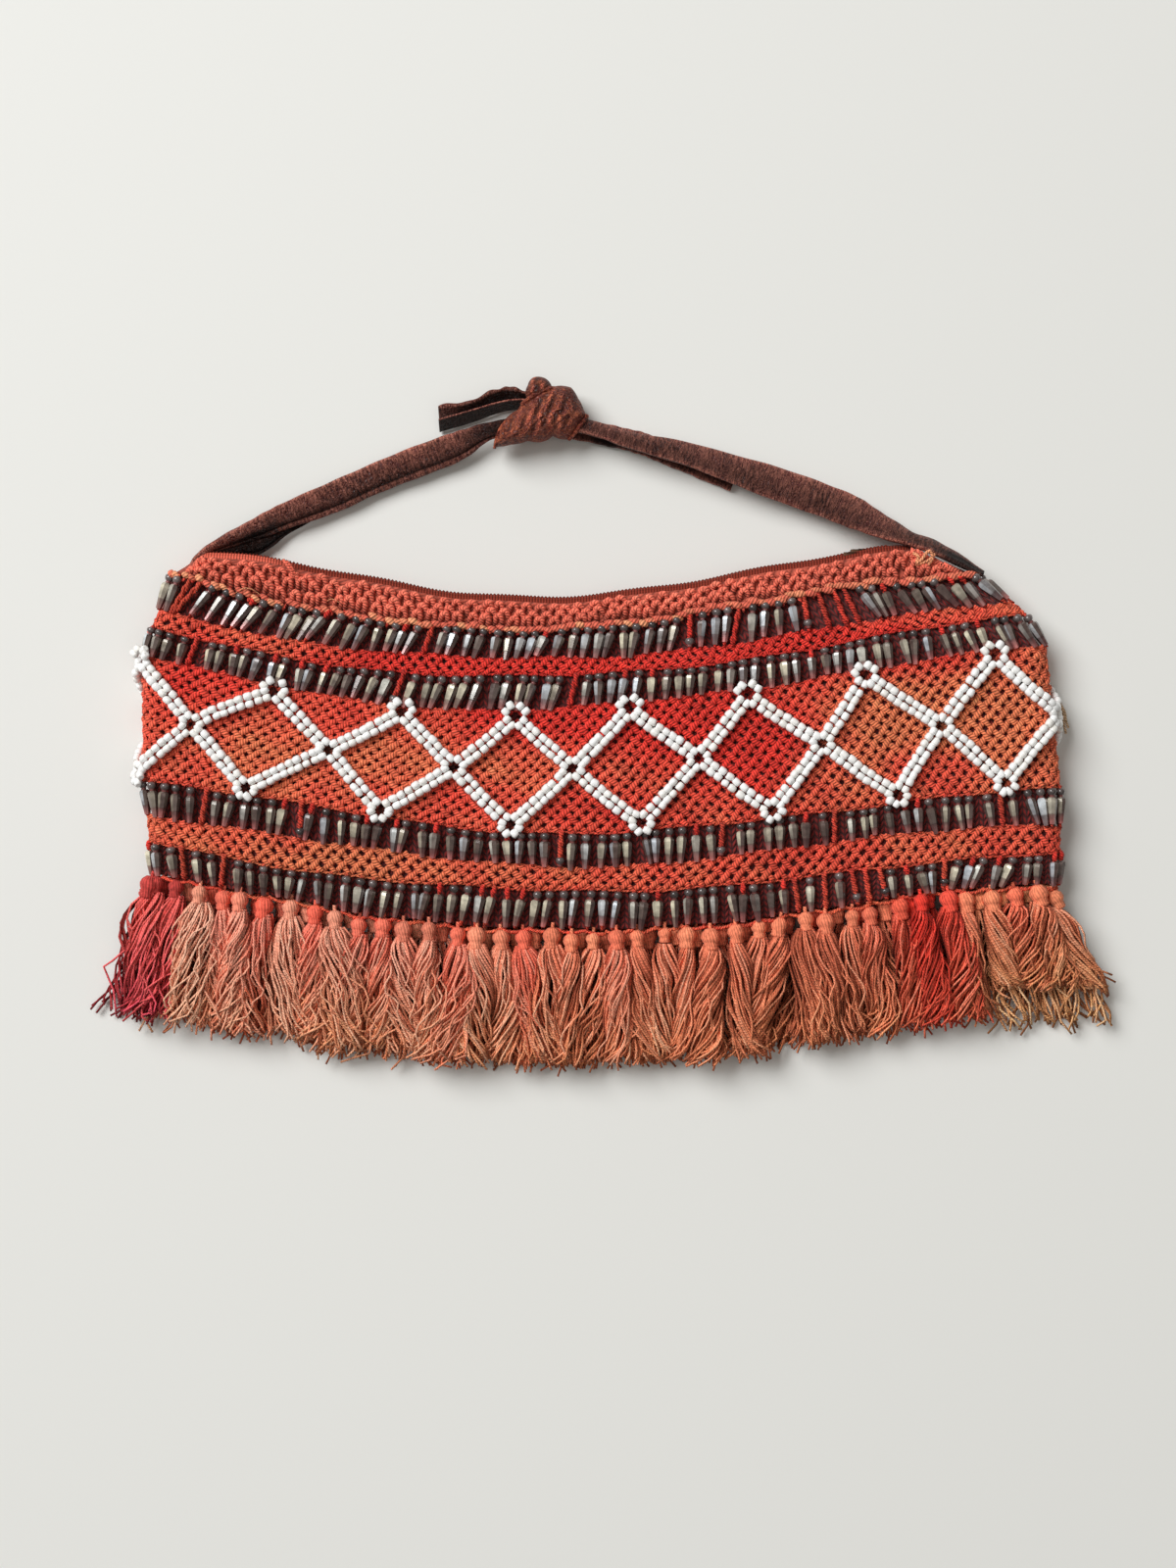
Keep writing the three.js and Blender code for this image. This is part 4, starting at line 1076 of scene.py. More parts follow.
# Columns: pixels along the thread, heights along it, half thickness, colour.
LOOSE_ENDS = [
    ([(302, 590), (298, 583), (293, 576), (290, 572)], [15.5, 17, 17, 16], 0.6, CORAL),
    ([(304, 590), (300, 582), (294, 573)], [15.5, 16.6, 17], 0.5, CORAL),
    ([(240, 606), (246, 603), (251, 601), (258, 602), (263, 605), (269, 610)],
     [15, 16.6, 17.6, 17.6, 16.6, 15], 0.22, PEACH),
    ([(332, 616), (338, 612), (345, 614), (350, 619)], [15, 16.6, 16.6, 15.5], 0.2, PEACH),
    ([(931, 565), (936, 569), (934, 575), (940, 571), (944, 565), (948, 564), (950, 571), (945, 578)],
     [16, 17, 16.6, 17.4, 17.6, 17.4, 17, 16], 0.65, PEACH),
    ([(934, 577), (940, 575), (947, 572), (953, 566)], [15.6, 16.6, 17, 16.6], 0.6, PEACH),
    ([(1082, 716), (1085, 724), (1085, 735), (1087, 747)], [10, 10, 9, 8], 0.45, STRAW),
    ([(1084, 716), (1088, 725), (1089, 736), (1092, 748)], [9, 9, 8, 7], 0.45, STRAW),
    ([(1085, 717), (1090, 726), (1092, 735), (1095, 742)], [8, 8, 7, 6], 0.45, STRAW),
]


def from_pixels(pixels):
    """Places in the photo as x and y in millimetres on the bag."""
    across, down = np.array(pixels, float).T
    return np.stack([(across - PIXEL_X) * PIXEL_MM, (PIXEL_Y - down) * PIXEL_MM], -1) - ORIGIN[:2]


def smooth_rows(rows, count):
    """A smooth curve through the rows of a table, all columns together."""
    rows = np.array(rows, float)
    held = np.vstack([2 * rows[0] - rows[1], rows, 2 * rows[-1] - rows[-2]])
    place = np.linspace(0, len(rows) - 1, count)
    start = np.minimum(place.astype(int), len(rows) - 2)
    t = (place - start)[:, None]
    a, b, c, d = (held[start + k] for k in range(4))
    return 0.5 * (2 * b + (c - a) * t + (2 * a - 5 * b + 4 * c - d) * t**2 + (3 * b - a - 3 * c + d) * t**3)


def pixel_strand(pixels, heights, steps, half_width, half_height, dye_and_painted_light, sides=6):
    """One strand along a line of pixels."""
    path = smooth_rows(np.column_stack([from_pixels(pixels), heights]), steps)[None]
    return strands(path, np.broadcast_to(UPWARDS, path.shape), half_width, half_height, dye_and_painted_light, sides)


for pixels, heights, radius, dye_and_painted_light in LOOSE_ENDS:
    steps = STEPS_PER_PIXEL_POINT * len(pixels)
    band_shapes.append(pixel_strand(pixels, heights, steps, radius, radius, dye_and_painted_light))
make_piece("crochet_band", merged(band_shapes), band_finish, ["top_band"])

# %% [markdown]
# ## The zip
# A closed zip runs inside the mouth and stands a little above the band: a ribbed tape that turns over
# towards the middle, with a coil of fine teeth on its ridge. The tape is a closed section swept round the
# mouth, with its ribs in the finish, and the coil is a row of short strands.

# %% Tape finish
TAPE_BROWN, TAPE_FRESH = paint(134, 50, 34), paint(226, 104, 82)
zip_finish, tree, shader = new_finish("zip_tape_finish", roughness=0.75, specular_ior_level=0.2)
tape_uv = add(tree, "ShaderNodeSeparateXYZ", {0: uv_of(tree)}).outputs
rib = reckon(tree, "ABSOLUTE", reckon(tree, "SINE", reckon(tree, "MULTIPLY", tape_uv[0], math.pi)))
edge = reckon(tree, "ABSOLUTE", reckon(tree, "SINE", reckon(tree, "MULTIPLY", tape_uv[1], 2.2)))
# The ribs are lighter on their crowns and darker in the grooves between them, which is painted shade.
tape_colour = mix_colour(tree, 1.0, dye_and_painted_light_of(tree), spread(tree, rib, 0.0, 1.0, 0.5, 1.15), "MULTIPLY")
tape_colour = mix_colour(tree, 1.0, tape_colour, spread(tree, edge, 0.0, 0.35, 0.5, 1.0), "MULTIPLY")
tree.links.new(tape_colour, shader.inputs["Base Color"])
bump(tree, shader, rib, 0.8, 0.0004)
print("tape finish:", len(tree.nodes), "nodes")

# %% Zip tape and coil
# The tape's closed section, down its outer face and up its inner one. Columns: lift from the net's face,
# and rise above the mouth.
TAPE_PROFILE = [
    (-5.0, 2.9), (-3.7, 2.7), (-2.7, 2.0), (-2.1, 1.0), (-1.9, -0.2), (-2.3, -3.4), (-2.9, -3.4),
    (-2.5, -0.2), (-2.7, 0.7), (-3.1, 1.5), (-3.9, 2.1), (-5.0, 2.3), (-5.0, 2.9),
]
OUTER_ROWS, TAPE_COLUMNS = 5, 361
RIB_PITCH = 1.05
# Left of this x the tape is sewn over with fresh yarn, after a short way of change.
FRESH_FROM, FRESH_FADE = -112, 12
COIL_FIRST, COIL_LAST, COIL_PITCH, COIL_LIFT, COIL_RISE = -95, 91, 1.35, -4.6, 2.8
COIL_POINTS = 5


def zip_tape():
    """The tape turns over from the front to the back. Its left end is sewn over with fresh coral yarn."""
    station = np.linspace(-STATIONS_ROUND / 2, STATIONS_ROUND / 2, TAPE_COLUMNS)
    place = np.array([bag_surface(MOUTH, station, lift) for lift, _ in TAPE_PROFILE])
    place[..., 1] += np.array(TAPE_PROFILE)[:, 1:]
    steps = np.linalg.norm(np.diff(place[OUTER_ROWS - 1], axis=0), axis=1)
    uv = np.empty(place.shape[:2] + (2,))
    uv[..., 0] = np.concatenate([[0], steps.cumsum()]) / RIB_PITCH
    uv[..., 1] = OUTER_ROWS - np.arange(len(TAPE_PROFILE))[:, None]
    fresh = np.clip((FRESH_FROM - place[..., :1]) / FRESH_FADE, 0, 1)
    return welded(grid_sheet(place, uv, mixed(TAPE_BROWN, TAPE_FRESH, fresh)))


def zip_coil():
    """Short strands from the front to the back, one for each tooth."""
    distance = np.arange(COIL_FIRST, COIL_LAST) * COIL_PITCH
    front = bag_surface(MOUTH, station_at(MOUTH, distance), COIL_LIFT)
    share = np.linspace(-1, 1, COIL_POINTS)
    path = np.repeat(front[:, None], COIL_POINTS, axis=1)
    path[..., 2] = BACK_Z + COURSES[MOUTH, 2] / 2 + 1.6 * share
    path[..., 1] += COIL_RISE + 0.3 * np.cos(share * np.pi / 2)
    path[..., 0] += 0.35 * share
    out = np.broadcast_to([0.0, 1.0, 0.0], path.shape)
    return strands(path, out, 0.45, 0.4, 0.7 * TAPE_BROWN, sides=4)


make_piece("zip", merged([zip_tape(), zip_coil()]), zip_finish, ["zip_tape"])

# %% [markdown]
# ## Leather
# The strap is dark hide, worn pale where it was handled, with fine grain, scuffs, cracks, specks and
# wrinkles across the strip. Strap and knot share these marks, so they are one node group that puts out
# masks, and each finish colours them in its own way. A single noise would be simpler, but wear has
# several sizes at once.

# %% Marks of worn leather
LEATHER_MASKS = ["Grain", "Scuff", "Crack", "Speck", "Wrinkle"]
WRINKLE_STRETCH = (0.16, 0.75, 1.0)
leather_group, leather_in, leather_out = new_group("worn_grain", ["Grain scale"], LEATHER_MASKS)


def middle_lines(tree, value, width):
    """A mask that is 0 on the lines where a noise passes through its middle."""
    return spread(tree, reckon(tree, "ABSOLUTE", reckon(tree, "SUBTRACT", value, 0.5)), 0.0, width)


hide_place = add(leather_group, "ShaderNodeTexCoord").outputs["Object"]
cell_values = {"Vector": hide_place, "Scale": leather_in["Grain scale"]}
cells = add(leather_group, "ShaderNodeTexVoronoi", cell_values, feature="DISTANCE_TO_EDGE")
strip_values = {"Vector": uv_of(leather_group), "Scale": WRINKLE_STRETCH}
across_strip = add(leather_group, "ShaderNodeMapping", strip_values).outputs[0]
furrow_values = {"Vector": across_strip, "Scale": 1.0, "Detail": 5.0, "Distortion": 0.9}
furrow = add(leather_group, "ShaderNodeTexNoise", furrow_values).outputs[0]
masks = [
    spread(leather_group, cells.outputs["Distance"], 0.0, 0.35),
    noise(leather_group, 60.0, 8.0, Roughness=0.7),
    middle_lines(leather_group, noise(leather_group, 240.0, 6.0, Distortion=1.5), 0.05),
    spread(leather_group, noise(leather_group, 2100.0, 3.0), 0.52, 0.68),
    middle_lines(leather_group, furrow, 0.1),
]
for socket_name, mask in zip(LEATHER_MASKS, masks):
    leather_group.links.new(mask, leather_out[socket_name])
print("leather group:", len(leather_group.nodes), "nodes")

# %% Leather finishes
HIDE = {"lit": paint(98, 42, 40), "dark": paint(32, 12, 13), "worn": paint(194, 124, 108)}
WRAP = {"lit": paint(124, 54, 43), "dark": paint(66, 24, 22), "worn": paint(216, 120, 84)}
GRAIN_SCALE = 620.0


def leather_finish(name, lit, dark, worn, line_wear, wrinkle_wear, relief):
    """Dark hide, scuffed and specked with its pale inside, which also shows on the wrinkles."""
    finish, tree, shader = new_finish(name, roughness=0.45, specular_ior_level=0.32)
    marks = add(tree, "ShaderNodeGroup", {"Grain scale": GRAIN_SCALE}, node_tree=leather_group).outputs
    base = mix_colour(tree, spread(tree, marks["Scuff"], 0.35, 0.68), (*dark, 1), (*lit, 1))
    pale_shares = [
        reckon(tree, "MULTIPLY", marks["Speck"], spread(tree, marks["Scuff"], 0.38, 0.62, 0.15, 0.85)),
        spread(tree, marks["Crack"], 0.0, 1.0, line_wear, 0.0),
        spread(tree, marks["Wrinkle"], 0.0, 1.0, wrinkle_wear, 0.0),
    ]
    for share in pale_shares:
        base = mix_colour(tree, share, base, (*worn, 1))
    base = mix_colour(tree, 1.0, base, dye_and_painted_light_of(tree), "MULTIPLY")
    tree.links.new(base, shader.inputs["Base Color"])
    tree.links.new(spread(tree, marks["Scuff"], 0.3, 0.7, 0.36, 0.6), shader.inputs["Roughness"])
    height = reckon(tree, "SUBTRACT", marks["Grain"], reckon(tree, "MULTIPLY", marks["Crack"], 1.2))
    height = reckon(tree, "SUBTRACT", height, reckon(tree, "MULTIPLY", marks["Wrinkle"], 1.4))
    bump(tree, shader, height, relief, 0.0005)
    return finish


strap_finish = leather_finish("strap_leather_finish", **HIDE, line_wear=0.2, wrinkle_wear=0.6, relief=0.9)
knot_finish = leather_finish("knot_leather_finish", **WRAP, line_wear=0.7, wrinkle_wear=0.0, relief=0.8)
print("leather finishes:", strap_finish.name, knot_finish.name)

# %% [markdown]
# ## Straps
# The strap is a folded strip of worn leather in two lengths, tied in one knot above the mouth, with a
# tail on each side of it. A strip is a loft: one section, with a stitched lip near its lower edge, at
# each step along a smooth path. A flat band with a Solidify modifier would lose the lip and the rounded
# back.

# %% Loft
def loft(rings, dye_and_painted_light):
    """A closed skin over rings of points of shape (rings, points, 3), with a UV map in millimetres."""
    skin_mesh = bmesh.new()
    loops = []
    for ring in rings:
        line = [skin_mesh.verts.new(point) for point in ring]
        loops.append([skin_mesh.edges.new(pair) for pair in zip(line, line[1:] + line[:1])])
    for here, there in zip(loops, loops[1:]):
        bmesh.ops.bridge_loops(skin_mesh, edges=here + there)
    bmesh.ops.holes_fill(skin_mesh, edges=loops[0] + loops[-1], sides=0)
    bmesh.ops.recalc_face_normals(skin_mesh, faces=skin_mesh.faces)
    skin = pattern_of(skin_mesh)
    around = np.linalg.norm(np.diff(rings, axis=1, prepend=rings[:, :1]), axis=-1).cumsum(axis=1)
    middle = rings.mean(axis=1)
    along = np.linalg.norm(np.diff(middle, axis=0, prepend=middle[:1]), axis=-1).cumsum()
    uv = np.stack([around, np.broadcast_to(along[:, None], around.shape)], -1).reshape(-1, 2)
    skin["uv"] = uv[skin["corners"]]
    skin["dye_and_painted_light"] = np.broadcast_to(dye_and_painted_light, rings.shape).reshape(-1, 3)
    skin["smooth"] = skin["sizes"] == 4
    return skin


square = np.array([[[0.0, 0, z], [1, 0, z], [1, 1, z], [0, 1, z]] for z in (0, 1)])
print("a loft over two squares has", len(loft(square, (1, 1, 1))["sizes"]), "faces")

# %% Strip of leather
# The section of a strip. Columns: share of the half width, share of the thickness.
STRIP_SECTION = [
    (-1.0, 0.0), (-0.98, 0.5), (-0.9, 0.9), (-0.66, 0.95), (-0.56, 0.45), (-0.46, 0.95), (-0.2, 1.25),
    (0.15, 1.35), (0.5, 1.25), (0.8, 0.95), (0.95, 0.5), (1.0, 0.0), (0.9, -0.8), (0.4, -1.0), (-0.4, -1.0),
    (-0.9, -0.8),
]
# Wear and painted light across the strip, as a multiplier of the dye. The left strap has a pale lip and a
# dark stitch line, the others are smooth there, and on all of them the upper edge is pale. The pale upper
# edge is partly wear and partly painted highlight, the face darkens from it towards the stitch line as
# painted shade, and the dark stitch line is painted shade in its groove.
LIPPED_WEAR_AND_PAINTED_LIGHT = [1.2, 1.7, 1.2, 0.8, 0.12, 0.36, 0.62, 0.9, 1.1, 1.3, 2.2, 2.0, 1.0, 0.7, 0.6, 0.6]
SMOOTH_WEAR_AND_PAINTED_LIGHT = [1.6, 1.8, 0.9, 0.6, 0.5, 0.52, 0.6, 0.76, 1.0, 1.35, 2.0, 2.0, 1.0, 0.7, 0.6, 0.6]
WEAR_TINT = np.array([1.0, 0.98, 0.92])
# On a smooth strip the stitch line of the section is filled up to this share of the thickness.
STITCH_LINE, FILLED_LINE = 4, 0.97
STRIP_HALF_THICKNESS = 1.25
# Shares of the section past which a point is on an edge or on the upper face.
EDGE_SHARE, FACE_SHARE = 0.7, 0.3
SHADE_DEPTH = 0.88


def strip(rows, shades, lipped, steps=120):
    """A strip along rows of x, y, z, width and roll, rippled and frayed, with its stretches of painted
    shade.
    """
    path = smooth_rows(rows, steps)
    centre, half, roll = path[:, :3] - ORIGIN, path[:, 3] / 2, np.radians(path[:, 4])
    along = unit(np.gradient(centre, axis=0))
    flat = unit(np.stack([-along[:, 1], along[:, 0], np.zeros(steps)], -1))
    across = np.cos(roll)[:, None] * flat + np.sin(roll)[:, None] * np.cross(along, flat)
    through = np.cross(along, across)
    section = np.array(STRIP_SECTION)
    if not lipped:
        section[STITCH_LINE, 1] = FILLED_LINE
    step = np.arange(steps)
    ripple = 0.22 * np.sin(step / 2.1) + 0.2 * np.sin(step / 4.7 + 1)
    frayed = 0.1 * np.sin(step / 3.1) + 0.1 * np.sin(step / 1.3)
    edge_side = np.where(np.abs(section[:, 0]) > EDGE_SHARE, np.sign(section[:, 0]), 0)
    wide = half[:, None] * section[:, 0] + frayed[:, None] * edge_side
    thick = STRIP_HALF_THICKNESS * np.minimum(1, half / 5 + 0.3)
    high = thick[:, None] * section[:, 1] + ripple[:, None] * np.where(section[:, 1] > FACE_SHARE, 0.6, 0)
    rings = centre[:, None] + wide[..., None] * across[:, None] + high[..., None] * through[:, None]
    # Wear and painted light across the section, then the stretches of painted shade.
    wear_and_painted_light = np.array(LIPPED_WEAR_AND_PAINTED_LIGHT if lipped else SMOOTH_WEAR_AND_PAINTED_LIGHT)[None, :, None] * WEAR_TINT
    for share, reach, side in shades:
        under = np.exp(-(((step / steps - share) / reach) ** 4))[:, None] * (side * section[:, 0] > 0.1)
        wear_and_painted_light = wear_and_painted_light * (1 - SHADE_DEPTH * under)[..., None]
    return loft(rings[:, ::-1], wear_and_painted_light[:, ::-1])


print("the section of a strip has", len(STRIP_SECTION), "points")

# %% Straps and the right tail
# Columns: x, y, z of the middle, width, and roll about the length in degrees.
STRAP_ROWS = {
    "strap_left": [
        (-152, 57.5, 10, 2.2, 62), (-149.6, 61.5, 10.5, 2.8, 60), (-145.5, 65, 10, 4, 56),
        (-136.3, 69.8, 8.5, 6.2, 44), (-129, 73, 7.5, 8, 36), (-122, 76.2, 6.5, 9.2, 30),
        (-114.7, 79.4, 6, 10.2, 25), (-100, 85.2, 5, 11.2, 18), (-86, 91.6, 4.5, 11.2, 12),
        (-71.5, 97.5, 4.5, 11.2, 9), (-57, 102.8, 5.5, 11.4, 15), (-50, 105.8, 6.5, 9.8, 25),
        (-42.7, 109.3, 7.5, 7.4, 38), (-32, 111.4, 8, 7, 45),
    ],
    "strap_right": [
        (-14, 113, 8.5, 6.4, -32), (-1.3, 110, 8.8, 6.4, -28), (9.5, 106.4, 8.8, 6.8, -26),
        (31, 101.2, 8.4, 9.6, -22), (52.7, 94.2, 8, 11.8, -14), (74.3, 87, 7, 12.8, -8),
        (88.7, 81.4, 8, 12.8, -12), (96, 77.9, 9, 12.2, -16), (104, 73.7, 10.5, 10.2, -26),
        (114.5, 68.8, 12.5, 7.4, -45), (122, 66.2, 12.8, 8, -50), (131, 61.6, 12.5, 8, -58),
        (140.5, 56.2, 11.5, 4, -62),
    ],
    "strap_tail_right": [
        (-14, 112, 3.4, 8, 0), (12, 106.8, 2, 8.2, 0), (26, 101.8, 1.5, 8.6, 0), (49.8, 92.2, 1.5, 8.8, 0),
    ],
}
# The inside of the left strap, which shows below it beside the corner of the mouth, darkened almost to
# black as painted shade.
LEFT_INSIDE = [
    (-143, 64.6, 7, 2, 40), (-136, 66.2, 5, 5, 30), (-129, 67.4, 4, 7.4, 20), (-124, 69.6, 3.4, 5.8, 15),
    (-117, 73.8, 3, 3.6, 10), (-106, 79.2, 2.6, 2, 10),
]
INSIDE_SHADE_TONE, INSIDE_STEPS = 0.12, 30
# Stretches of painted shade, where a strip turns almost black on one side of its section. Columns: share of
# the length, reach, and -1 for its lower or 1 for its upper side.
SHADES = {
    "strap_left": [(0.3, 0.08, -1), (1.0, 0.15, 1)],
    "strap_right": [(0.93, 0.08, -1)],
    "strap_tail_right": [(0.2, 0.08, -1)],
}
for name, rows in STRAP_ROWS.items():
    leather = [strip(rows, SHADES[name], name == "strap_left")]
    if name == "strap_left":
        inside = strip(LEFT_INSIDE, [], True, INSIDE_STEPS)
        # Painted shade: the inside turns almost black.
        inside["dye_and_painted_light"] = inside["dye_and_painted_light"] * INSIDE_SHADE_TONE
        leather.append(inside)
    make_piece(name + "_leather", merged(leather), strap_finish, [name])

# %% [markdown]
# ## Knot
# The knot is leather wrapped over itself, redder and more creased than the strap, with a loop behind it
# and cut edges at its sides. A strip that is really tied would need many steps for what is a small lump,
# so two spheres are pulled out to their outlines, creased on top, and rimmed with strands for the cut
# edges.

# %% Knot
# Outlines of the wrap and of the loop behind it, in photo pixels.
WRAP_OUTLINE = [
    (503, 454), (506, 444), (512, 430), (528, 416), (543, 402), (560, 394), (571, 391), (583, 393),
    (590, 404), (596, 417), (599, 422), (592, 433), (580, 446), (564, 442), (538, 447), (521, 451),
]
LOOP_OUTLINE = [(537, 404), (538, 391), (543, 383), (551, 382), (563, 392), (560, 402), (548, 408)]
# Cut edges. Columns: pixels, heights along them, half width, half height, tint.
RIMS = [
    ([(599, 422), (593, 431), (587, 439), (580, 446)], [9.4, 10.2, 10.2, 9], 0.9, 1.6, (1.4, 1.3, 1.25)),
    ([(504, 455), (506, 446), (510, 436), (517, 427)], [8.4, 9.6, 10.4, 10.6], 0.6, 1.2, (1.5, 1.35, 1.3)),
    ([(532, 413), (545, 403), (560, 396), (573, 396)], [12.4, 13, 12.4, 9], 1.0, 1.1, (1.15, 1.08, 1.05)),
]
RIM_STEPS, RIM_SIDES = 24, 8
BALL_ROUND, BALL_RINGS = 96, 56
# How blunt the ball is pulled, and the way across its creases.
BLUNTNESS, CREASE_WAY = 0.8, (0.93, -0.36)
# Tone of the creases: crests lighter, partly wear and partly painted highlight, folds darker as painted
# shade, within the least and most tone.
CREST_WEAR_AND_SHADE_TONE, LEAST_TONE, MOST_TONE = 2.2, 0.3, 2.6


def pillow(outline, low, high, crease, tint):
    """A sphere pulled out to an outline seen from above, with creases across it."""
    shape_mesh = bmesh.new()
    bmesh.ops.create_uvsphere(shape_mesh, u_segments=BALL_ROUND, v_segments=BALL_RINGS, radius=1)
    ball = pattern_of(shape_mesh)
    edge = from_pixels(outline)
    middle = edge.mean(axis=0)
    angle = np.arctan2(*(edge - middle).T[::-1])
    order = np.argsort(angle)
    reach = np.linalg.norm(edge - middle, axis=1)[order]
    angle = angle[order]
    x, y, z = ball["points"].T
    turn = np.arctan2(y, x)
    far = np.interp(turn, np.concatenate([angle - 2 * np.pi, angle, angle + 2 * np.pi]), np.tile(reach, 3))
    out = np.hypot(x, y) ** BLUNTNESS * far
    place_x, place_y = middle[0] + out * np.cos(turn), middle[1] + out * np.sin(turn)
    across = place_x * CREASE_WAY[0] + place_y * CREASE_WAY[1]
    wobble = 0.9 * np.sin(place_y / 2.3 + place_x / 5) + 0.5 * np.sin(place_y / 1.1)
    fold = np.sin(across / 0.62 + wobble) + 0.5 * np.sin(across / 0.36 - 1.7 * wobble)
    inside = np.clip(1.15 - np.hypot(x, y), 0, 1) * np.clip(z, 0, 1)
    place_z = (low + high) / 2 + z * (high - low) / 2 + crease * fold * inside
    ball["points"] = np.stack([place_x, place_y, place_z], -1)
    # Crests lighter, partly wear and partly painted highlight; folds darker as painted shade.
    crest_wear_and_shade = 0.62 * np.clip(fold, 0, 1.5) ** 2 - 0.3 * np.clip(-fold, 0, 1.5)
    tone = (0.84 + CREST_WEAR_AND_SHADE_TONE * crest_wear_and_shade * inside).clip(LEAST_TONE, MOST_TONE)[:, None] * np.array(tint)
    return copies(ball, np.zeros((1, 3)), np.eye(3)[None], tone[None])


knot_shapes = [
    pillow(WRAP_OUTLINE, 0.9, 16.4, 0.5, (1, 1, 1)),
    pillow(LOOP_OUTLINE, 2.0, 14.6, 0.2, (0.8, 0.78, 0.78)),
]
for pixels, heights, half_width, half_height, tint in RIMS:
    knot_shapes.append(pixel_strand(pixels, heights, RIM_STEPS, half_width, half_height, tint, RIM_SIDES))
make_piece("knot_wrap", merged(knot_shapes), knot_finish, ["strap_knot"])

# %% [markdown]
# ## Left tail
# The tail on the left is a strip folded lengthwise to a trough: two flaps that meet in a crease, with tan
# cut edges, and near black inside and on the lower flap's outer face as painted shade. The strip's section
# can't show both flaps, so it has a loft of its own, in which every point of the section has its own height
# and tone.

# %% Left tail, a strip folded to a trough
# Columns: x, and y of the upper flap's edge, of the lower flap's edge and of the crease below them.
TAIL_ROWS = [
    (-60.2, 118.6, 113.6, 110.2), (-48, 120.9, 117.1, 113.8), (-38, 125.2, 120, 117.4),
    (-32, 125.4, 121, 118.4), (-24, 123.4, 121, 119),
]
# The points of the section: down the upper flap's back, round the crease, up and over the lower flap's
# edge, and back inside. Columns: column of TAIL_ROWS that the point follows, offset from it in y, share of
# the edge's wave, height and tone. Tones far below one are painted shade; the tan cut edges are above one.
UPPER_FLAP, LOWER_FLAP, CREASE = 1, 2, 3
TAIL_SECTION = [
    (UPPER_FLAP, 0.0, 1, 9.6, 1.5), (UPPER_FLAP, -1.2, 0, 8.0, 0.7), (CREASE, 1.4, 0, 1.0, 0.3),
    (CREASE, 0.0, 0, 1.2, 0.2), (CREASE, 0.1, 0, 2.4, 0.14), (LOWER_FLAP, -0.2, 0, 7.4, 0.16),
    (LOWER_FLAP, 0.4, 0, 8.2, 3.2), (LOWER_FLAP, 0.5, 0, 7.8, 3.2), (LOWER_FLAP, 0.0, 0, 6.9, 0.14),
    (CREASE, 2.6, 0, 3.0, 0.03), (UPPER_FLAP, -1.6, 0, 8.6, 0.12), (UPPER_FLAP, -0.5, 1, 10.0, 1.4),
]
TAIL_STEPS, WORN_STEPS, WORN_ABOVE, END_WEAR = 60, 12, 8.3, 0.8
TAIL_TINT = np.array([1.0, 0.97, 0.92])


def tail_left():
    """Two flaps that meet in a crease, lofted from the end to the knot."""
    lines = smooth_rows(TAIL_ROWS, TAIL_STEPS)
    step = np.arange(TAIL_STEPS)[:, None]
    wave = 0.3 * np.sin(step / 2.9) + 0.25 * np.sin(step / 1.7)
    line, offset, waving, z, tone = np.array(TAIL_SECTION).T
    rings = np.empty((TAIL_STEPS, len(z), 3))
    rings[..., 0] = lines[:, :1] - ORIGIN[0]
    rings[..., 1] = lines[:, line.astype(int)] + offset + waving * wave - ORIGIN[1]
    rings[..., 2] = z + 0.3 * wave
    end_wear = np.clip(1 - step / WORN_STEPS, 0, 1) * END_WEAR * (z > WORN_ABOVE)
    return loft(rings, (tone + end_wear)[..., None] * TAIL_TINT)


make_piece("strap_tail_left_leather", tail_left(), strap_finish, ["strap_tail_left"])

# %% [markdown]
# ## Tassels
# Cotton tassels hang from the hem, two deep. A tassel has a small ball head, a wrapped neck and a skirt
# of twisted yarn that kinks as it falls. Hair particles could fill it, but each yarn as its own bent tube
# shows the crossings that the photo shows. Most have faded to salmon, a few on the left stay crimson and
# some are red.

# %% Places of the tassels
TASSELS = 40
HEM_GAP, HEM_CORD = 0.3, 0.9
TASSEL_LENGTH = {"left": 52.0, "mid": 50.5, "right": 48.0}
TASSEL_LEAN = {"left": -0.24, "right": 0.34}
FRINGE_MIDDLE, FRINGE_HALF = 1.5, 167.5


def tassel_line(first, last, count):
    """Heads along the hem between two shares of its length, with each tassel's lean and length."""
    share = first + (last - first) * (np.arange(count) + 0.5 + dice.normal(0, 0.1, count)) / count
    head = bag_surface(HEM, station_at(HEM, share * length_round(HEM)), -HEM_CORD)
    head[:, 1] -= HEM_GAP + HEM_CORD + np.abs(dice.normal(0, 0.9, count)) - 0.8
    u = np.clip((head[:, 0] + ORIGIN[0] - FRINGE_MIDDLE) / FRINGE_HALF, -1, 1)
    side = np.where(u < 0, TASSEL_LEAN["left"], TASSEL_LEAN["right"])
    ends = np.where(u < 0, TASSEL_LENGTH["left"], TASSEL_LENGTH["right"])
    lean = side * np.abs(u) ** 3 + dice.normal(0, 0.05, count)
    return head, lean, TASSEL_LENGTH["mid"] + (ends - TASSEL_LENGTH["mid"]) * np.abs(u)


print("tassels are about", round(length_round(HEM) / 2 / TASSELS, 1), "mm apart")

# %% Dye of the tassels
SALMON, ROSE, CRIMSON = paint(255, 142, 106), paint(252, 106, 84), paint(166, 38, 52)
FADED_RED, TAN, BLUSH = paint(244, 66, 52), paint(250, 162, 110), paint(255, 164, 134)
# Towards the left the salmon blushes. A group of red tassels hangs around one x.
BLUSH_FROM, BLUSH_FADE = -20, 70
RED_MIDDLE, RED_REACH = 118, 11
# At the right end the tips have bleached to sand. The crimson tassels are left of the x in CRIMSON_END.
SAND, SAND_FROM, SAND_FADE = paint(250, 190, 128), 130, 16
CRIMSON_END = -155


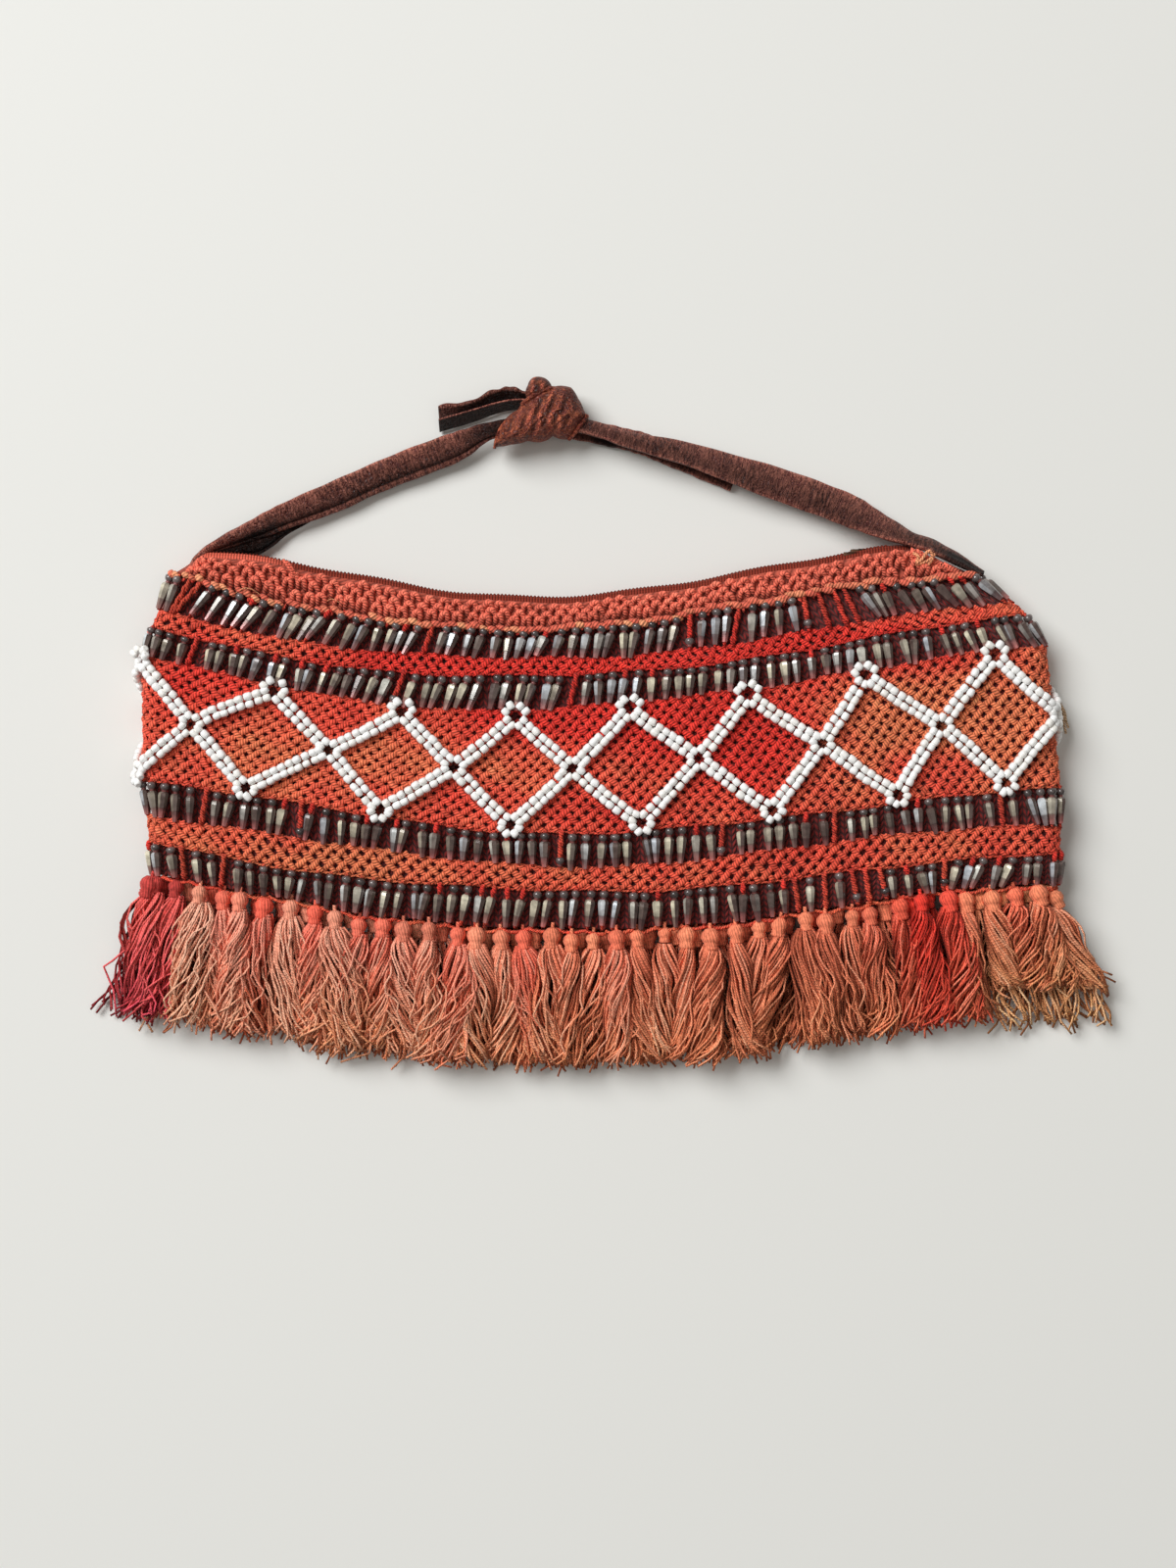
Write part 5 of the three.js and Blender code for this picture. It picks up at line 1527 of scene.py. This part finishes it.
def tassel_dye(head, bleached):
    """Colours at the head and at the tips: salmon that turns tan, a crimson corner and a red group."""
    x = head[:, :1]
    pale = mixed(SALMON, BLUSH, np.clip((BLUSH_FROM - x) / BLUSH_FADE, 0, 1))
    top = mixed(pale, ROSE, np.clip(dice.uniform(-0.8, 1.1, x.shape), 0, 1))
    tip = mixed(TAN, top, dice.uniform(0.0, 0.4, x.shape))
    red_group = np.exp(-(((x - RED_MIDDLE) / RED_REACH) ** 4))
    top = mixed(top, FADED_RED, red_group)
    tip = mixed(tip, mixed(FADED_RED, ROSE, 0.4), 0.85 * red_group)
    sandy = bleached * np.clip((x - SAND_FROM) / SAND_FADE, 0, 1)
    top, tip = mixed(top, SAND, 0.4 * sandy), mixed(tip, SAND, sandy)
    corner = x < CRIMSON_END
    return np.where(corner, mixed(CRIMSON, ROSE, 0.35), top), np.where(corner, CRIMSON, tip)


print("sand begins", SAND_FROM, "mm to the right, crimson ends at", CRIMSON_END)

# %% Paths of the yarns
HEAD_LENGTH = 5.8
GOLDEN_ANGLE = 2.39996
STRAY_SHARE, OUTER_SHARE = 0.1, 0.66
STRAY_DRIFT, STRAY_RISE = 2.8, 2.2
LOWEST_YARN = 0.6
# Width of a skirt, as share of its length and factor.
SWELL = ([0, 0.05, 0.16, 0.4, 0.75, 1], [0.42, 0.66, 0.92, 1.0, 1.08, 1.25])
# Kinks along a yarn, as waves for each length and their strength.
KINKS = ((1.1, 1.0), (2.3, 0.75), (3.6, 0.3))
# How wild the yarns drift, as x and factor.
WILD = ((-150, -60, 0, 160), (1.9, 1.7, 1.0, 1.15))


def skirt_paths(head, lean, length, rest_z, width, count, points, size):
    """Yarns of all tassels of one layer, and how far out each lies in its bundle.

    They wind round their bundle, then drift apart and curl.
    """
    shape, one = (len(head), count), (len(head), 1, 1)
    t = np.linspace(0, 1, points)
    swell = np.interp(t, *SWELL)
    angle = GOLDEN_ANGLE * np.arange(count) + dice.uniform(0, 2 * np.pi, (len(head), 1))
    outer = dice.uniform(0, 1, shape) < OUTER_SHARE
    far = np.where(outer, dice.uniform(0.84, 1.08, shape), dice.uniform(0.3, 0.78, shape))[..., None]
    twist = dice.choice([-1, 1], one) * dice.uniform(1.4, 5.6, one)
    turn = (angle + dice.normal(0, 0.2, shape))[..., None] + twist * t
    reach = length[:, None] * dice.normal(0.965, 0.04, shape)
    ramp = np.clip(t / 0.3, 0, 1)
    sway = dice.normal(0, 2.2, one) * t**1.6
    bend = t * dice.uniform(0.5, 1.3, one) + dice.uniform(0, 1, one)
    sway = sway + dice.uniform(0.3, 1.8, one) * ramp * np.sin(2 * np.pi * bend)
    waves = np.zeros((3,) + shape + (points,))
    for pitch, strength in KINKS:
        rate = pitch * dice.normal(1, 0.2, (3,) + shape + (1,))
        waves += strength * np.sin(2 * np.pi * (rate * t + dice.uniform(0, 1, (3,) + shape + (1,))))
    stray = (dice.uniform(0, 1, shape) < STRAY_SHARE)[..., None]
    wild = np.interp(head[:, 0], *WILD)[:, None, None] * size["drift"]
    drift = (0.3 * ramp + 0.45 * t**1.8) * np.where(stray, STRAY_DRIFT, 1.0) * wild
    curl = np.clip((t - 0.8) / 0.2, 0, 1) ** 2
    x = head[:, :1, None] + (lean[:, None] * reach)[..., None] * t**0.8 + sway
    x = x + far * np.cos(turn) * width[:, None, None] * swell + waves[0] * drift
    x = x + curl * dice.normal(0, 1.6, shape + (1,))
    y = head[:, 1, None, None] - HEAD_LENGTH - (reach - HEAD_LENGTH)[..., None] * t + 0.5 * waves[1] * drift
    y = y + curl * dice.uniform(0, 2.2, shape + (1,))
    settle = t * t * (3 - 2 * t)
    level = head[:, 2, None, None] * (1 - settle) + rest_z[:, None, None] * settle
    depth = far * np.sin(turn)
    z = level + depth * size["depth"] * np.minimum(swell, 1.05) + 0.3 * waves[2] * drift
    z = z + np.where(stray, STRAY_RISE * np.sin(np.pi * t) ** 0.7, 0)
    # Stray yarns take the tone of the well lit outer yarns, which is painted light.
    return np.stack([x, y, np.maximum(z, LOWEST_YARN)], -1), np.where(stray, 0.9, depth)


print(round(100 * STRAY_SHARE), "percent of the yarns stray")

# %% Dye along the yarns
# The shade of a yarn, as depth in the bundle and factor.
DEPTH_TONE = ((-0.5, 0.0, 0.5, 0.8, 1.0), (0.1, 0.32, 0.74, 1.1, 1.35))
# Yarns in the shade are redder, so their tone has a power for each colour channel. Tips are lit again.
DEEPER_RED = np.array([1.0, 1.3, 1.4])
TIP_LIGHT, TIP_FROM, TIP_TONE = 0.5, 0.55, 0.8
# Well lit yarn turns pale, crimson yarn hardly does.
PALE_YARN, PALE_SHARE, PALE_CRIMSON = paint(255, 206, 178), 0.42, 0.08


def skirt_dye_and_painted_light(head, dye_and_painted_light, depth, bleached):
    """Faded towards the tips, dark and red deep in the bundle, pale where well lit."""
    count, yarns, points = depth.shape
    t = np.linspace(0, 1, points)
    colour_shift = (np.clip(1.35 * t - 0.2, 0, 1) * dice.uniform(0.55, 1.0, (count, yarns, 1)))[..., None]
    top, tip = (colour[:, None, None] for colour in dye_and_painted_light)
    tone = np.interp(depth, *DEPTH_TONE)[..., None]
    tone = tone * dice.normal(1, 0.24, (count, yarns, 1, 1)).clip(0.4, 1.6)
    tone = tone * dice.normal(1, 0.08, (count, 1, 1, 1))
    brighter = 0.4 * bleached * np.clip((head[:, 0] - SAND_FROM) / SAND_FADE, 0, 1)
    # Painted light: the tone is higher towards the left end of the fringe and lower towards the right.
    tone = tone * (np.clip(0.98 - head[:, 0] / 320, 0.74, 1.45) + brighter)[:, None, None, None]
    near_tip = np.clip((t - TIP_FROM) / (1 - TIP_FROM), 0, 1)
    tone = mixed(tone, np.maximum(tone, TIP_TONE), (TIP_LIGHT * near_tip)[:, None])
    colour = mixed(top, tip, colour_shift) * tone ** DEEPER_RED
    colour = colour / np.maximum(1, colour.max(axis=-1, keepdims=True))
    pale = np.where(head[:, 0] < CRIMSON_END, PALE_CRIMSON, PALE_SHARE)[:, None, None, None]
    return mixed(colour, PALE_YARN, pale * np.clip(tone - 1.0, 0, 0.8))


print("tones of the yarns:", DEPTH_TONE[1])

# %% [markdown]
# ## Heads of the tassels
# Each tassel is tied to a ball over a wrapped neck and hangs from a short loop. One head is spun from a
# profile, pressed to six soft ridges and copied, and its UV map winds round it, so that the yarn finish
# shows the wrapping.

# %% Heads
HEAD_PROFILE = [
    (0.5, 0.3), (1.5, 0.0), (2.5, -1.2), (2.75, -2.5), (2.4, -3.6), (1.95, -4.2), (2.2, -4.6), (2.0, -5.0),
    (2.25, -5.5), (1.9, -6.2),
]
HEAD_SIDES, HEAD_WINDINGS, HEAD_RIDGES, RIDGE_DEPTH = 12, 8, 6, 0.05
HEAD_SIZE, HEAD_CHANGE, HEAD_LEAST, HEAD_MOST = 1.12, 0.13, 0.85, 1.26
LOOP_LOW, LOOP_TOP, LOOP_POINTS, LOOP_RADIUS = 0.4, -2.2, 5, 0.7
head_pattern = pattern_of(turned(HEAD_PROFILE, HEAD_SIDES), windings=HEAD_WINDINGS)
ridge_angle = np.arctan2(head_pattern["points"][:, 1], head_pattern["points"][:, 0])
head_pattern["points"][:, :2] *= (1 + RIDGE_DEPTH * np.cos(HEAD_RIDGES * ridge_angle))[:, None]


def tassel_heads(head, lean, dye_and_painted_light):
    """Ball heads, with a short loop of yarn from each up to the hem."""
    down = unit(np.stack([lean, -np.ones(len(lean)), np.zeros(len(lean))], -1))
    side = unit(np.cross(down, UPWARDS))
    size = dice.normal(HEAD_SIZE, HEAD_CHANGE, (len(head), 1)).clip(HEAD_LEAST, HEAD_MOST)
    axes = np.stack([side * size, np.cross(-down, side) * size, -down * size], 1)
    tint = np.clip(dye_and_painted_light * dice.normal(1.0, 0.08, (len(head), 1)), 0, 1)
    loop = head[:, None] + np.linspace(LOOP_LOW, LOOP_TOP, LOOP_POINTS)[:, None] * down[:, None]
    out = np.broadcast_to(UPWARDS, loop.shape)
    loops = strands(loop, out, LOOP_RADIUS, LOOP_RADIUS, tint[:, None])
    return merged([copies(head_pattern, head, axes, tint), loops])


print("a head has", len(head_pattern["sizes"]), "faces")

# %% [markdown]
# ## The fringe
# Front and back have forty tassels each. They lie over and under their neighbours, so every second one is
# raised and wider. The front is two pieces, to keep each below the limit of triangles for one piece, and
# the back, which is mostly hidden, has fewer and thicker yarns.

# %% Fringe
# Widths of raised and of lower tassels, depth of a bundle, drift, half thickness of the yarn, raise of the
# heads, share of bleaching, yarns for each tassel, points for each yarn and resting height.
FRONT_YARN = {
    "over": 5.9, "under": 5.0, "depth": 3.6, "drift": 0.9, "yarn": 0.42, "raise": 0.0, "bleached": 0.35,
    "count": 70, "points": 15, "rest": 8.8,
}
BACK_YARN = {
    "over": 6.4, "under": 5.6, "depth": 1.8, "drift": 1.0, "yarn": 0.45, "raise": 5.0, "bleached": 0.9,
    "count": 28, "points": 12, "rest": 3.0,
}
# Stretches of x with the share of the usual length there.
FRONT_SHORTER = [(143, 180, 0.8)]
BACK_SHORTER = [(128, 141, 0.82), (143, 180, 1.1)]
HEAD_STEP, REST_OVER, REST_UNDER = 0.9, 1.4, -1.2
SKIP_SHARE = 0.25


def fringe(first, last, count, yarn, shorter):
    """One layer of tassels between two shares of the way round the hem."""
    head, lean, length = tassel_line(first, last, count)
    for low, high, share in shorter:
        length = np.where((head[:, 0] > low) & (head[:, 0] < high), share * length, length)
    dye_and_painted_light = tassel_dye(head, yarn["bleached"])
    over = (np.arange(count) + (dice.uniform(size=count) < SKIP_SHARE)) % 2 == 0
    head[:, 2] += yarn["raise"]
    width = np.where(over, yarn["over"], yarn["under"]) * dice.normal(1, 0.18, count).clip(0.7, 1.4)
    head[:, 2] += np.where(over, HEAD_STEP, -HEAD_STEP)
    rest_z = yarn["rest"] + np.where(over, REST_OVER, REST_UNDER) + dice.normal(0, 0.4, count)
    paths, depth = skirt_paths(head, lean, length, rest_z, width, yarn["count"], yarn["points"], yarn)
    colour = skirt_dye_and_painted_light(head, dye_and_painted_light, depth, yarn["bleached"])
    paths, colour = (rows.reshape(-1, yarn["points"], 3) for rows in (paths, colour))
    out = np.broadcast_to(UPWARDS, paths.shape)
    skirt = strands(paths, out, yarn["yarn"], yarn["yarn"], colour, sides=3)
    whole = merged([skirt, tassel_heads(head, lean, dye_and_painted_light[0])])
    whole["points"][:, 2] = np.maximum(whole["points"][:, 2], FLOOR_GAP)
    return whole


front_nodes = [f"tassel_{number:02d}" for number in range(1, TASSELS + 1)]
HALF = TASSELS // 2
left_fringe = fringe(-0.25, 0.0, HALF, FRONT_YARN, FRONT_SHORTER)
make_piece("tassels_front_left", left_fringe, tassel_finish, front_nodes[:HALF])
right_fringe = fringe(0.0, 0.25, HALF, FRONT_YARN, FRONT_SHORTER)
make_piece("tassels_front_right", right_fringe, tassel_finish, front_nodes[HALF:])
back_fringe = fringe(0.25625, 0.75625, TASSELS, BACK_YARN, BACK_SHORTER)
make_piece("tassels_back", back_fringe, tassel_finish, ["fringe_back"])

# %% [markdown]
# ## Hem cord
# A chain of yarn closes the lower edge, and the tassels hang from it. The cord of the net's edges does
# for it too, thicker, more tightly twisted and sagging between the tassels.

# %% Hem cord
HEM_CHAIN = {
    "lift": -HEM_CORD, "radius": 0.7, "sag": 1.3, "sag_length": 9.8, "turn_length": 3.2, "dye_scale": 0.95,
}
make_piece("hem_chain", ring_cord(HEM + 0.04, **HEM_CHAIN), net_finish, ["hem_cord"])

# %% [markdown]
# ## Zip slider
# The slider hides between strap and band. A real one has a body, a bridge and a pull, so three rounded
# blocks in dark bronze stand for it. One block would do for what is seen, but these cost little.

# %% Slider
BRONZE_DARK, BRONZE_LIT = paint(46, 32, 26), paint(92, 66, 50)
SLIDER_PLACE = (96.3, 63.6, 8.8)
# Columns: middle of each block from the slider's place, and its size.
SLIDER_BLOCKS = [
    ((0, 0, 0), (8.6, 3.0, 3.8)), ((0.6, 1.1, 0), (4.4, 1.4, 1.6)), ((-4.2, -1.2, 2.6), (6.0, 3.0, 0.8)),
]
ROUNDING = 0.3

bronze_finish, tree, shader = new_finish("slider_bronze_finish", metallic=1.0, roughness=0.45)
scratch = noise(tree, 900.0, 6.0)
bronze_colour = mix_colour(tree, scratch, (*BRONZE_DARK, 1), (*BRONZE_LIT, 1))
tree.links.new(bronze_colour, shader.inputs["Base Color"])
tree.links.new(spread(tree, scratch, 0.3, 0.7, 0.3, 0.6), shader.inputs["Roughness"])


def slider_shape():
    """A body, a bridge over it and a pull, as blocks with rounded edges."""
    shapes = []
    for middle, size in SLIDER_BLOCKS:
        block = bmesh.new()
        bmesh.ops.create_cube(block, size=1)
        bmesh.ops.scale(block, vec=size, verts=block.verts)
        bmesh.ops.translate(block, vec=np.array(middle) + SLIDER_PLACE, verts=block.verts)
        bmesh.ops.bevel(
            block, geom=block.edges, offset=ROUNDING, offset_type="OFFSET", affect="EDGES", segments=2,
            profile=0.5, material=-1,
        )
        shapes.append(copies(pattern_of(block), np.zeros((1, 3)), np.eye(3)[None], np.ones((1, 3))))
    return merged(shapes)


make_piece("slider", slider_shape(), bronze_finish, ["zip_slider"])

# %% [markdown]
# ## Floor, light and camera
# The bag lies on a plain pale surface and is seen straight from above. A large soft light at the upper
# left gives the soft shadow at the lower right, and a weak sky fills the rest. A sun lamp would give hard
# shadows, so both lights are wide discs.

# %% Floor
FLOOR_HALF = 3.0
floor_mesh = bmesh.new()
bmesh.ops.create_grid(floor_mesh, x_segments=1, y_segments=1, size=FLOOR_HALF)
floor_data = bpy.data.meshes.new("floor")
floor_mesh.to_mesh(floor_data)
floor_mesh.free()
floor = bpy.data.objects.new("floor", floor_data)
bpy.context.scene.collection.objects.link(floor)
floor_finish, tree, shader = new_finish("floor_finish", roughness=0.7)
shader.inputs["Base Color"].default_value = (*paint(232, 231, 227), 1)
floor_data.materials.append(floor_finish)
print("floor of", 2 * FLOOR_HALF, "m")

# %% Light
def soft_light(name, place, size, power, colour):
    """A wide disc that shines on the bag's middle. Place and size are in metres."""
    data = bpy.data.lights.new(name, "AREA")
    data.shape = "DISK"
    data.size = size
    data.energy = power
    data.color = colour
    light = bpy.data.objects.new(name, data)
    light.location = place
    x, y, z = place
    light.rotation_euler = (math.atan2(math.hypot(x, y), z), 0, math.atan2(-y, -x) - math.pi / 2)
    bpy.context.scene.collection.objects.link(light)
    print(name, power, "W")


soft_light("window_light", (-2.4, 2.0, 3.2), 3.0, 218.0, (0.985, 1.0, 1.0))
soft_light("ceiling_light", (0.3, -0.2, 1.7), 1.4, 3.0, (1.0, 0.94, 0.84))
world = bpy.data.worlds.new("studio")
world.use_nodes = True
sky = world.node_tree.nodes["Background"].inputs
sky["Color"].default_value = (1.0, 0.995, 0.97, 1)
sky["Strength"].default_value = 0.17
bpy.context.scene.world = world
bpy.context.scene.view_settings.view_transform = "Standard"

# %% Camera
LENS, SENSOR, PHOTO_HIGH, PHOTO_CENTRE = 50.0, 36.0, 1600, (600, 800)
BAG_MIDDLE_Z = 14.0
camera_data = bpy.data.cameras.new("photo_camera")
camera_data.lens = LENS
camera_data.sensor_width = SENSOR
camera = bpy.data.objects.new("photo_camera", camera_data)
bpy.context.scene.collection.objects.link(camera)
height = PHOTO_HIGH * PIXEL_MM * LENS / SENSOR + BAG_MIDDLE_Z
camera.location = [value / MM_PER_METRE for value in (*from_pixels([PHOTO_CENTRE])[0], height)]
bpy.context.scene.camera = camera
print("camera", [round(value, 4) for value in camera.location])

# %% [markdown]
# ## Triangles
# The last cell prints how many triangles all pieces hold together. The dressed bag may stand only a
# little proud of the imported part's box.

# %% Triangles in all
print("triangles in all:", sum(triangles_made.values()))
